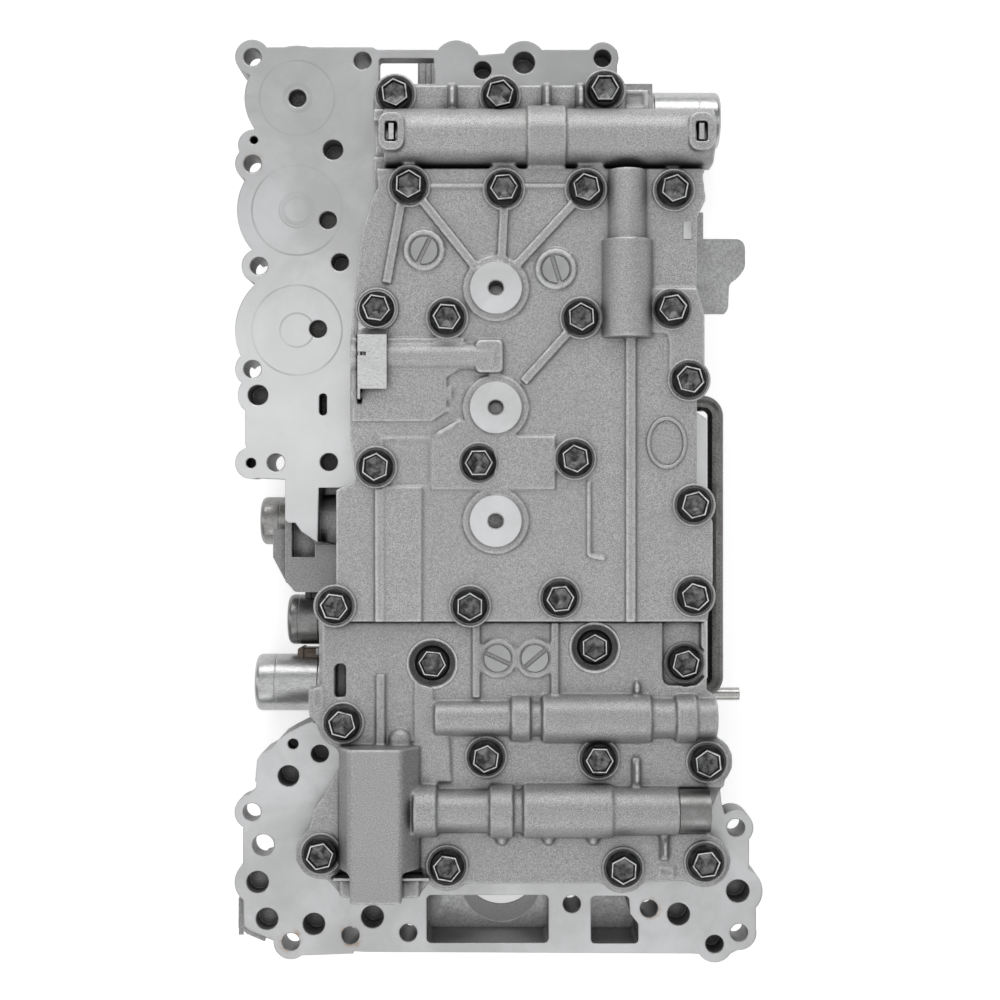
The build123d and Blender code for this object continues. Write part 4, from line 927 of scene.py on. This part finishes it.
def loft(work, rings, joined=False):
    """A closed surface through rings of points in millimetres. Its ends are capped, or joined to each other.
    A ring may be a single point."""
    rings = [[work.verts.new((x * MM, y * MM, z * MM)) for x, y, z in ring] for ring in rings]
    made = [work.faces.new(end) for end in (rings[0], rings[-1]) if len(end) > 2 and not joined]
    sides = max(len(ring) for ring in rings)
    for low, high in zip(rings, rings[1:] + rings[:1] if joined else rings[1:]):
        for i in range(sides):
            j = (i + 1) % sides
            corners = [low[i % len(low)], low[j % len(low)], high[j % len(high)], high[i % len(high)]]
            made.append(work.faces.new(list(dict.fromkeys(corners))))
    bmesh.ops.recalc_face_normals(work, faces=made)


def wedge_rib(work, start, end, base, top, width, tip=0.5):
    """A rib like a ship's keel: wide in the middle, thin at its ends, sharp on top."""
    first, last = Vector((*start, 0.0)), Vector((*end, 0.0))
    along = (last - first).normalized()
    across = Vector((-along.y, along.x, 0.0))
    rows = []
    for share, swell, rise in ((0.0, tip, 0.25), (0.3, 1.0, 1.0), (0.7, 1.0, 1.0), (1.0, tip, 0.25)):
        half = across * (width / 2 * swell)
        foot = first.lerp(last, share) + Vector((0, 0, base - 2.0))
        ridge = first.lerp(last, share) + Vector((0, 0, base + (top - base) * rise))
        rows.append([foot - half, ridge - half * 0.35, ridge + half * 0.35, foot + half])
    loft(work, rows)


def dome(work, x, y, z, radius, flatness=0.6):
    """A low round bump."""
    made = bmesh.ops.create_uvsphere(work, u_segments=20, v_segments=12, radius=radius * MM)["verts"]
    for vertex in made:
        vertex.co = Vector((vertex.co.x + x * MM, vertex.co.y + y * MM, vertex.co.z * flatness + z * MM))


def sloped_fillet(work, low_x, high_x, low_y, high_y, base, top, lean):
    """A block whose top leans in from its lower edges, as the draft of a die asks."""
    made = bmesh.ops.create_cube(work, size=1.0)["verts"]
    for vertex in made:
        up = vertex.co.z > 0
        x = high_x - (lean if up else 0.0) if vertex.co.x > 0 else low_x + (lean if up else 0.0)
        y = high_y - (lean if up else 0.0) if vertex.co.y > 0 else low_y + (lean if up else 0.0)
        vertex.co = Vector((x, y, top if up else base)) * MM


def cast_frame(work, x, y, z, width, length, wall, rise):
    """A raised rectangular outline on a casting."""
    for side in (-1, 1):
        middle = x + side * (width - wall) / 2
        sloped_fillet(work, middle - wall / 2, middle + wall / 2, y - length / 2, y + length / 2, z - 1, z + rise, 0.1)
        middle = y + side * (length - wall) / 2
        sloped_fillet(work, x - width / 2, x + width / 2, middle - wall / 2, middle + wall / 2, z - 1, z + rise, 0.1)


def front_extras(work):
    """Gussets, fillets and small bumps of the front casting."""
    for x in (-18.8, 19.6, 33.3):
        wedge_rib(work, (x, 171.0), (x, 157.0), LEDGE_TOP, 71.0, 4.4)
    for x, y in LEDGE_BOLT_PLACES:
        sloped_fillet(work, x - 9.4, x + 9.4, y - 9.0, y, LEDGE_TOP - 2.0, LEDGE_TOP + 0.8, 1.2)
    dome(work, 46.6, 73.4, 71.2, 3.0)
    for x, y in ((-36.1, 127.2), (2.2, 125.9), (35.3, 125.9), (70.8, 125.5)):
        sloped_fillet(work, x - 3.0, x + 3.0, y, y + 9.6, 66.0, 70.9, 0.8)
    wedge_rib(work, (-27.4, 25.4), (-14.6, 32.6), FRONT_TOP, 72.0, 4.6, 0.8)
    wedge_rib(work, (-59.0, 38.8), (-25.6, 38.8), FRONT_TOP, 71.0, 3.6, 0.9)
    wedge_rib(work, (-26.2, 38.8), (-17.4, 36.0), FRONT_TOP, 71.0, 3.6, 0.9)
    cast_frame(work, -37.4, 15.4, FRONT_TOP, 20.6, 20.4, 1.0, 0.7)
    sloped_fillet(work, -1.9, -0.9, 6.2, 25.6, FRONT_TOP - 1.0, FRONT_TOP + 1.6, 0.1)


def rear_extras(work):
    """Nubs, keels and bumps of the rear casting."""
    dome(work, -40.0, -97.0, 66.6, 4.6)
    wedge_rib(work, (56.2, -72.5), (56.2, -79.5), REAR_TOP, 69.6, 4.6)
    wedge_rib(work, (56.2, -104.0), (56.2, -117.5), REAR_TOP, 69.8, 4.4)
    wedge_rib(work, (67.6, -135.0), (67.6, -146.5), REAR_TOP, 69.4, 4.2)
    wedge_rib(work, (56.2, -94.5), (56.2, -99.0), REAR_TOP, 68.6, 4.2)
    for x in (1.3, 20.3, 38.5):
        dome(work, x, -137.6, 67.0, 2.3, 0.9)
    for x, y in ((-5.1, -104.0), (40.8, -104.8), (84.7, -106.0), (-20.9, -148.3), (50.6, -149.1), (83.9, -146.7),
                 (-72.1, -143.4), (-63.2, -90.2)):
        dome(work, x, y, 65.2, 11.2, 0.14)
    cast_frame(work, 68.2, -150.6, REAR_TOP, 6.2, 4.4, 0.9, 0.9)
    cast_frame(work, -73.4, -80.4, REAR_TOP, 4.2, 8.6, 0.9, 0.8)


rounded_casting("front_valve_body", front_cast, 6, 0.18, front_extras)
rounded_casting("rear_valve_body", rear_cast, 16, 0.20, rear_extras)


# Solenoids

def lathe(name, profile, sides=64):
    """A closed turned mesh about the Z axis, from a profile of (radius, height) in millimetres."""
    rings = [[(x, y, z) for x, y in circle(0.0, 0.0, radius, sides if radius else 1)] for radius, z in profile]
    mesh = made_mesh(name, lambda work: loft(work, rings))
    smooth_shade(mesh, 38)
    return mesh


def soft_block(work, low, high, radius, segments=3):
    """Adds a block with rounded edges to a mesh that is being made; sizes in millimetres."""
    made = bmesh.ops.create_cube(work, size=1.0)["verts"]
    middle = (Vector(low) + Vector(high)) / 2 * MM
    size = (Vector(high) - Vector(low)) * MM
    for vertex in made:
        vertex.co = Vector([vertex.co[i] * size[i] + middle[i] for i in range(3)])
    edges = list({edge for vertex in made for edge in vertex.link_edges})
    bmesh.ops.bevel(work, geom=edges, offset=radius * MM, segments=segments, profile=0.5, affect="EDGES")


def loose_blocks(name, blocks, material, radius=0.5):
    """A piece made of rounded blocks, each (low corner, high corner) and, if not the usual, its own radius."""
    def stack(work):
        for low, high, *own in blocks:
            soft_block(work, low, high, *(own or [radius]))

    mesh = made_mesh(name, stack)
    smooth_shade(mesh, 40)
    keep_piece(name, mesh, material, "housing")


def can_profile(radius, length):
    """A drawn can: a dimpled end with a rolled edge, two faint seams and the nose that goes into the bore."""
    seam = length * 0.30
    return [
        (0, 0.7), (radius - 4.4, 0.7), (radius - 4.0, 0.35), (radius - 2.6, 0.0), (radius - 1.7, 0.12),
        (radius - 0.9, 0.5), (radius - 0.3, 1.2), (radius, 2.2), (radius, seam), (radius - 0.12, seam + 0.15),
        (radius - 0.12, seam + 0.45), (radius, seam + 0.6), (radius, length - 1.6), (radius - 0.4, length - 1.3),
        (radius - 0.4, length), (8.0, length), (8.0, length + 18.6), (7.2, length + 20.0), (0, length + 20.0),
    ]


LEFT_CANS = {
    "line_pressure_solenoid": (-105.7, -79.5, 12.4, can_steel),
    "shift_solenoid": (-91.7, -51.9, 10.9, dark_can_steel),
    "lockup_solenoid": (-103.5, -8.7, 10.4, warm_can_steel),
}
CONNECTORS = {
    "line_pressure_solenoid": ((-87.8, -70.0, 10.0), (-77.5, -64.2, 20.0), brown_plastic),
    "shift_solenoid": ((-84.5, -45.0, 10.0), (-77.5, -38.8, 20.0), black_plastic),
    "lockup_solenoid": ((-96.2, -20.4, 10.0), (-89.0, -15.0, 20.0), black_plastic),
}


def set_can(name, end_x, y, radius, length, finish, turn):
    """A turned can in place of its node, with its axis along the body."""
    mesh = lathe(name + "_can", can_profile(radius, length))
    place = Vector((end_x, y, SOLENOID_Z)) * MM
    mesh.transform(Matrix.Translation(place) @ Matrix.Rotation(turn * math.pi / 2, 4, "Y"))
    keep_piece(name + "_can", mesh, finish, "housing", [name])


for name, (end_x, y, radius, finish) in LEFT_CANS.items():
    set_can(name, end_x, y, radius, SOLENOID_FACE_X - end_x, finish, 1)
set_can("throttle_pressure_solenoid", 96.4, 166.6, 12.4, 96.4 - THROTTLE_FACE_X, can_steel, -1)
for name, (low, high, plastic) in CONNECTORS.items():
    loose_blocks(name + "_connector", [
        (low, high, 1.1),
        ((low[0] + 1.4, low[1] - 0.5, low[2] - 0.5), (low[0] + 3.0, high[1] + 0.5, high[2] + 0.5), 0.5),
        ((low[0] + 4.2, low[1] + 1.6, high[2] - 0.4), (high[0], high[1] - 1.6, high[2] + 0.9), 0.35),
    ], plastic)


# Middle body: its holes and ears are cut round, and its outline follows the casting

CASE_HOLES = [
    (-101.7, 183.5), (-101.7, 54.5), (-37.3, -178.4), (99.4, -178.4), (-101.7, 139.4), (-99.0, 97.1),
    (-101.9, -128.5), (-56.2, 182.0), (-92.0, 15.9), (-85.8, -182.2), (-61.2, -179.5), (30.3, -166.5),
    (62.2, -168.4), (98.1, -135.0),
]
PASSAGES = [
    (-68.4, 145.2, 4.1), (-65.5, 98.7, 3.6), (-99.4, 43.8, 4.1), (-70.1, 16.1, 3.6), (-6.6, 178.1, 3.6),
    (10.5, 181.2, 4.5), (43.0, 183.0, 3.6), (-73.8, -104.4, 3.6), (-86.8, -113.6, 4.3), (74.4, -170.7, 4.6),
    (98.9, -161.2, 4.7), (89.3, -183.1, 3.7), (-101.1, 149.2, 1.6), (-102.3, 15.7, 2.0), (-97.2, -142.2, 4.4),
    (-61.2, -179.5, 3.6),
]
CORNER_PASSAGES = [(-99.6, -157.5, 4.5), (-95.7, -172.7, 4.5), (-76.3, -174.8, 4.5), (-52.1, -171.8, 4.6),
                   (-84.9, -100.4, 2.1)]
FEEDS = [(-83.1, 166.5), (-70.5, 116.1), (-74.6, 71.1)]
LOBES = [(-83.3, 166.5, 21.7), (-83.3, 120.2, 24.8), (-83.3, 70.6, 25.6)]
EARS = [
    (-101.7, 183.5, 7.2), (-101.7, 54.5, 7.2), (99.4, -178.4, 7.2), (-101.7, 139.4, 7.2), (-99.0, 97.1, 7.2),
    (98.1, -135.0, 7.2), (89.3, -183.1, 7.6), (-102.3, 15.7, 6.6), (-101.1, 147.0, 6.6), (43.0, 183.0, 6.6),
    (-99.4, 43.8, 8.4), (-17.5, 181.2, 9.2), (10.5, 181.0, 9.2), (98.9, -161.2, 10.2),
]
CORNER_EARS = [(-85.8, -182.2, 7.2), (-101.9, -128.5, 7.2), (-99.6, -157.5, 9.5)]
# Outlines with their bottom and top: the notch beside the boss and three cuts at the flange corners
TRIMMED_OUTLINES = [
    (MIDDLE_BOTTOM - 1, CASE_FACE + 1, [(-60, -19.2), (-60, 5.5), (-74.3, 5.5), (-74.8, -16.9), (-66, -19.4)]),
    (CORNER_EAR_BOTTOM - 8, CASE_FACE + 1,
     [(-107, -111), (-100.6, -111), (-101, -120.5), (-104.5, -122.8), (-107, -122.8)]),
    (CORNER_EAR_BOTTOM - 0.5, CASE_FACE + 1,
     [(-107, -176), (-105.2, -175.5), (-103.2, -177.3), (-95.5, -180.4), (-91.9, -182), (-93, -187), (-107, -187)]),
    (CORNER_EAR_BOTTOM - 8, CORNER_EAR_BOTTOM - 0.4,
     [(-111, -178.2), (-109.0, -178.2), (-103, -184.6), (-103, -188), (-111, -188)]),
]
# The fuller edge of the wing and of the corner flange
FILLED_OUTLINES = [
    (MIDDLE_BOTTOM, CASE_FACE, [(-101, 9.5), (-90, 12), (-90, 58), (-101, 60), (-104.8, 36), (-104.8, 24)]),
    (MIDDLE_BOTTOM, CASE_FACE,
     [(-100.6, -116), (-99.8, -107), (-98.1, -104.5), (-93.9, -102.2), (-90.3, -97.9), (-86.7, -95.7), (-81, -92.8),
      (-76.4, -91), (-76, -100), (-88, -116)]),
    (CORNER_EAR_BOTTOM, CASE_FACE,
     [(-99.8, -112), (-100.2, -118.2), (-102.2, -120.5), (-106.5, -123.8), (-108, -128), (-90, -128), (-90, -112)]),
    (MIDDLE_BOTTOM + 2, CASE_FACE - 0.4,
     [(-105.6, -150), (-105.6, -172), (-103.4, -177), (-96, -180.6), (-90, -183), (-90, -150)]),
    (MIDDLE_BOTTOM + 2, CORNER_EAR_BOTTOM + 1,
     [(-108.9, -166.5), (-109.0, -178.8), (-104, -182.0), (-98, -184.5), (-96, -170), (-100, -160), (-106, -160)]),
]
CASE_HOLE_RADIUS = 3.6
BOSS_Y, BOSS_Z, BOSS_RADIUS = -8.0, 38.2, 10.6


def prism(work, points, bottom, top):
    """A closed upright prism on an outline in millimetres."""
    loft(work, [[(x, y, z) for x, y in points] for z in (bottom, top)])


def round_post(work, x, y, radius, bottom, top, sides=64):
    """A closed upright cylinder."""
    prism(work, circle(x, y, radius, sides), bottom, top)


def drill(work, x, y, radius, bottom):
    """A cutter for a round hole whose mouth is broken at the case face."""
    mouth = radius + 0.42
    steps = ((radius, bottom), (radius, CASE_FACE - 0.28), (mouth, CASE_FACE + 0.14), (mouth, CASE_FACE + 1.0))
    loft(work, [[(px, py, z) for px, py in circle(x, y, r, 48)] for r, z in steps])


def trimmed_away(work):
    """What the casting lacks beside its CAD outline."""
    for bottom, top, outline in TRIMMED_OUTLINES:
        prism(work, outline, bottom, top)


def filled_in(work):
    """Round ears and lobes, the fuller edge of the wing, and the boss that shows in the notch."""
    for x, y, radius in EARS:
        round_post(work, x, y, radius, EAR_BOTTOM, CASE_FACE)
    for x, y, radius in CORNER_EARS:
        round_post(work, x, y, radius, CORNER_EAR_BOTTOM, CASE_FACE)
    for x, y, radius in LOBES:
        round_post(work, x, y, radius, MIDDLE_BOTTOM, CASE_FACE, 128)
    for bottom, top, outline in FILLED_OUTLINES:
        prism(work, outline, bottom, top)
    turns = [math.radians(a) for a in range(-50, 231, 10)]
    arc = [(BOSS_Y + BOSS_RADIUS * math.cos(a), BOSS_Z + BOSS_RADIUS * math.sin(a)) for a in turns]
    loft(work, [[(x, y, z) for y, z in arc] for x in (-76.5, -59.5)])


def drilled_out(work):
    """All the round holes of the case face."""
    for x, y in CASE_HOLES:
        drill(work, x, y, CASE_HOLE_RADIUS, MIDDLE_BOTTOM - 1)
    for x, y, radius in PASSAGES:
        drill(work, x, y, radius, CASE_FACE - 12.0)
    for x, y, radius in CORNER_PASSAGES:
        drill(work, x, y, radius, CASE_FACE - 8.0)
    for x, y in FEEDS:
        drill(work, x, y, CASE_HOLE_RADIUS, CASE_FACE - 5.3)


def finish_middle_body():
    """The middle body with its real outline and round holes, in place of the CAD node."""
    source = put_in_scene("blank_middle_body", merged_copy("middle_body"))
    steps = (("trimmed", "DIFFERENCE", trimmed_away), ("filled", "UNION", filled_in),
             ("drilled", "DIFFERENCE", drilled_out))
    tools = []
    for name, operation, make in steps:
        tools.append(put_in_scene(name, made_mesh(name, make)))
        step = source.modifiers.new(name, "BOOLEAN")
        step.operation = operation
        step.solver = "EXACT"
        step.use_self = True
        step.object = tools[-1]
    mesh = evaluated_mesh(source)
    for tool in tools:
        bpy.data.objects.remove(tool)
    mesh.name = "middle_body_finished"
    keep_piece("middle_body_finished", mesh, middle_cast, "housing", ["middle_body"])


finish_middle_body()


def round_the_tab():
    """The upper separator with the corners of its tab rounded."""
    def soften(work):
        bmesh.ops.dissolve_limit(work, angle_limit=math.radians(1.0), verts=work.verts, edges=work.edges)
        corners = []
        for edge in work.edges:
            one, other = (vertex.co for vertex in edge.verts)
            if abs(one.x - other.x) < 1e-6 and abs(one.y - other.y) < 1e-6 and one.x > TAB_START:
                corners.append(edge)
        bmesh.ops.bevel(work, geom=corners, offset=0.0016, segments=5, profile=0.5, affect="EDGES")
        bmesh.ops.triangulate(work, faces=work.faces)

    mesh = worked(merged_copy("upper_separator"), soften)
    mesh.name = "upper_separator_rounded"
    keep_piece("upper_separator_rounded", mesh, sheet_steel, "housing", ["upper_separator"])


round_the_tab()


# Turned and stamped details

loose_blocks("front_window_lug", [
    ((-35.0, 150.0, 12.0), (-23.6, 190.2, 26.5)), ((-31.8, 150.6, 20.0), (-28.8, 189.8, 27.6)),
], lower_cast, 1.2)
loose_blocks("front_ejector_pads", [
    ((74.6, 105.8, 69.2), (78.2, 113.0, 70.35)), ((-62.9, -4.2, 56.9), (-60.1, 3.2, 57.9)),
], milled_pad, 0.3)


def lower_wall_ribs():
    """Upright ribs and a parting line on the side walls of the lower body."""
    blocks = [((78.6, y - 1.5, 1.6), (81.8, y + 1.5, 27.6)) for y in range(-142, 140, 24)]
    blocks += [((-78.8, y - 1.5, 1.6), (-76.0, y + 1.5, 27.6)) for y in (-65, -32, 14)]
    blocks += [((-59.8, y - 1.5, 1.6), (-57.0, y + 1.5, 27.6)) for y in (56, 80, 104, 128, 152)]
    blocks += [((x - 1.5, -160.0, 1.6), (x + 1.5, -157.0, 27.6)) for x in (-52, -40)]
    parting = [
        (79.0, 80.45, -157.0, 147.0), (-58.45, -57.0, 41.0, 164.0), (-77.45, -76.0, 4.0, 29.0),
        (-56.0, -37.0, 164.0, 165.45), (-22.0, 39.0, 164.0, 165.45), (-31.0, 22.0, -184.95, -183.5),
    ]
    blocks += [((low_x, low_y, 13.6), (high_x, high_y, 14.5)) for low_x, high_x, low_y, high_y in parting]
    loose_blocks("lower_wall_ribs", blocks, lower_cast, 0.42)


lower_wall_ribs()


def oval_ring():
    """The raised oval on the right of the front casting."""
    steps = ((0.0, 69.0), (0.0, 70.7), (0.35, 71.0), (1.25, 71.0), (1.6, 70.7), (1.6, 69.0))
    rings = [[(x, y, z) for x, y in circle(68.0, 23.5, 8.2 - inset, 64, 10.6 - inset)] for inset, z in steps]
    mesh = made_mesh("raised_oval", lambda work: loft(work, rings, joined=True))
    smooth_shade(mesh)
    keep_piece("raised_oval", mesh, front_rim_cast, "housing")


oval_ring()
PORT_RING = [(3.0, -0.3), (10.3, -0.3), (10.6, -0.05), (10.35, 0.12), (3.5, 0.12), (3.0, -0.15), (3.0, -0.3)]
turned_piece("port_pad_rings", PORT_RING, 64, [(x, y, PORT_PAD_TOP) for x, y in PORT_PADS], milled_pad)
LUG_SEAT = [(2.0, -0.4), (3.2, -0.4), (3.2, 0.5), (2.7, 0.7), (2.3, 0.5), (2.0, -0.2), (2.0, -0.4)]
turned_piece("lug_plug_seat", LUG_SEAT, 40, [LUG_PLUG], cover_cast)


def slotted_plug_tree():
    """Pressed plug discs with a slot across them and a low rim."""
    tree, given, output = start_tree("slotted_plug_discs", [
        ("Radius", "NodeSocketFloat", 5.75 * MM), ("Slot Width", "NodeSocketFloat", 1.9 * MM),
        ("Material", "NodeSocketMaterial", None),
    ])
    radius = given["Radius"]

    def out(amount):
        return maths(tree, "ADD", radius, amount * MM)

    face = profile_ring(tree, [
        (0.0, -0.3 * MM), (out(1.35), -0.3 * MM), (out(1.35), 0.75 * MM), (out(1.1), 1.0 * MM), (out(0.7), 1.0 * MM),
        (out(0.45), 0.7 * MM), (out(0.4), -0.1 * MM), (radius, -0.1 * MM), (out(-0.05), 0.45 * MM),
        (out(-0.45), 0.75 * MM), (0.0, 0.75 * MM),
    ], 48)
    size = vector_of(tree, times(tree, radius, 2.1), given["Slot Width"], 1.6 * MM)
    cutter = add(tree, "GeometryNodeMeshCube", {"Size": size}).outputs[0]
    cutter = add(tree, "GeometryNodeTransform", {"Geometry": cutter, "Translation": (0.0, 0.0, 0.72 * MM)}).outputs[0]
    cut = add(tree, "GeometryNodeMeshBoolean", operation="DIFFERENCE")
    tree.links.new(face, cut.inputs[0])
    tree.links.new(cutter, cut.inputs[1])
    end_tree(tree, scatter(tree, given["Geometry"], cut.outputs[0]), given["Material"], output)
    return tree


plug_places = [(x * MM, y * MM, (top + 0.2) * MM) for plugs, top in ((FRONT_PLUGS, FRONT_TOP), (REAR_PLUGS, REAR_TOP))
               for x, y, _ in plugs]
plug_turns = [math.radians(a) for _, _, a in FRONT_PLUGS + REAR_PLUGS]
plug_mesh = grown(slotted_plug_tree(), points_mesh("plug_places", plug_places, plug_turns),
                  {"Material": plug_disc_metal})
keep_piece("slotted_plug_discs", plug_mesh, plug_disc_metal, "housing")


# Stage, lamps and camera

def lay_floor():
    """A wide plain pale floor under the valve body."""
    mesh = bpy.data.meshes.new("floor")
    corners = [(-1, -1), (1, -1), (1, 1), (-1, 1)]
    mesh.from_pydata([(FLOOR_REACH * x, FLOOR_REACH * y, -0.0004) for x, y in corners], [], [(0, 1, 2, 3)])
    floor = put_in_scene("floor", mesh)
    material, tree, shader, place = new_finish("pale_floor")
    shade = tint(tree, noise(tree, place, 3.0, 2.0), grey(0.62), grey(0.65))
    tree.links.new(shade, shader.inputs["Base Color"])
    shader.inputs["Roughness"].default_value = 0.9
    path = add(tree, "ShaderNodeLightPath").outputs
    seen = greatest(tree, path["Is Glossy Ray"], path["Is Transmission Ray"])
    seen = greatest(tree, path["Is Camera Ray"], seen)
    shader.inputs["Emission Color"].default_value = (1.0, 1.0, 1.0, 1.0)
    tree.links.new(times(tree, seen, 0.58), shader.inputs["Emission Strength"])
    mesh.materials.append(material)


def hang_lamp(name, place, target, size, watts):
    """A soft rectangular lamp that faces a point."""
    lamp = bpy.data.lights.new(name, "AREA")
    lamp.shape = "RECTANGLE"
    lamp.size, lamp.size_y = size
    lamp.energy = watts
    holder = put_in_scene(name, lamp)
    holder.location = place
    holder.rotation_euler = (Vector(target) - Vector(place)).to_track_quat("-Z", "Y").to_euler()


MIDDLE = (0, 0, 0.05)
lay_floor()
hang_lamp("overhead_softbox", (-0.15, -0.30, 1.40), (0, -0.05, 0.05), (1.9, 1.9), 10.0)
hang_lamp("north_softbox", (0.0, 1.35, 0.80), MIDDLE, (2.2, 0.7), 17.0)
hang_lamp("south_softbox", (0.0, -1.35, 0.90), MIDDLE, (2.0, 0.6), 7.0)
hang_lamp("left_softbox", (-1.4, 0.1, 0.9), MIDDLE, (0.6, 1.4), 4.0)
hang_lamp("right_softbox", (1.4, 0.1, 0.9), MIDDLE, (0.6, 1.4), 3.0)

world = bpy.data.worlds.new("studio")
world.use_nodes = True
sky = world.node_tree.nodes["Background"].inputs
sky["Color"].default_value = (0.95, 0.97, 1.0, 1.0)
sky["Strength"].default_value = 0.26
bpy.context.scene.world = world

camera_data = bpy.data.cameras.new("photo_camera")
camera_data.sensor_width = 36.0
camera_data.lens = camera_data.sensor_width * FOCAL_LENGTH / PHOTO_SIDE
camera_data.clip_start = 0.01
camera_data.clip_end = 50.0
camera = put_in_scene("photo_camera", camera_data)
camera.location = CAMERA_PLACE
bpy.context.scene.camera = camera
bpy.context.scene.view_settings.view_transform = "Standard"
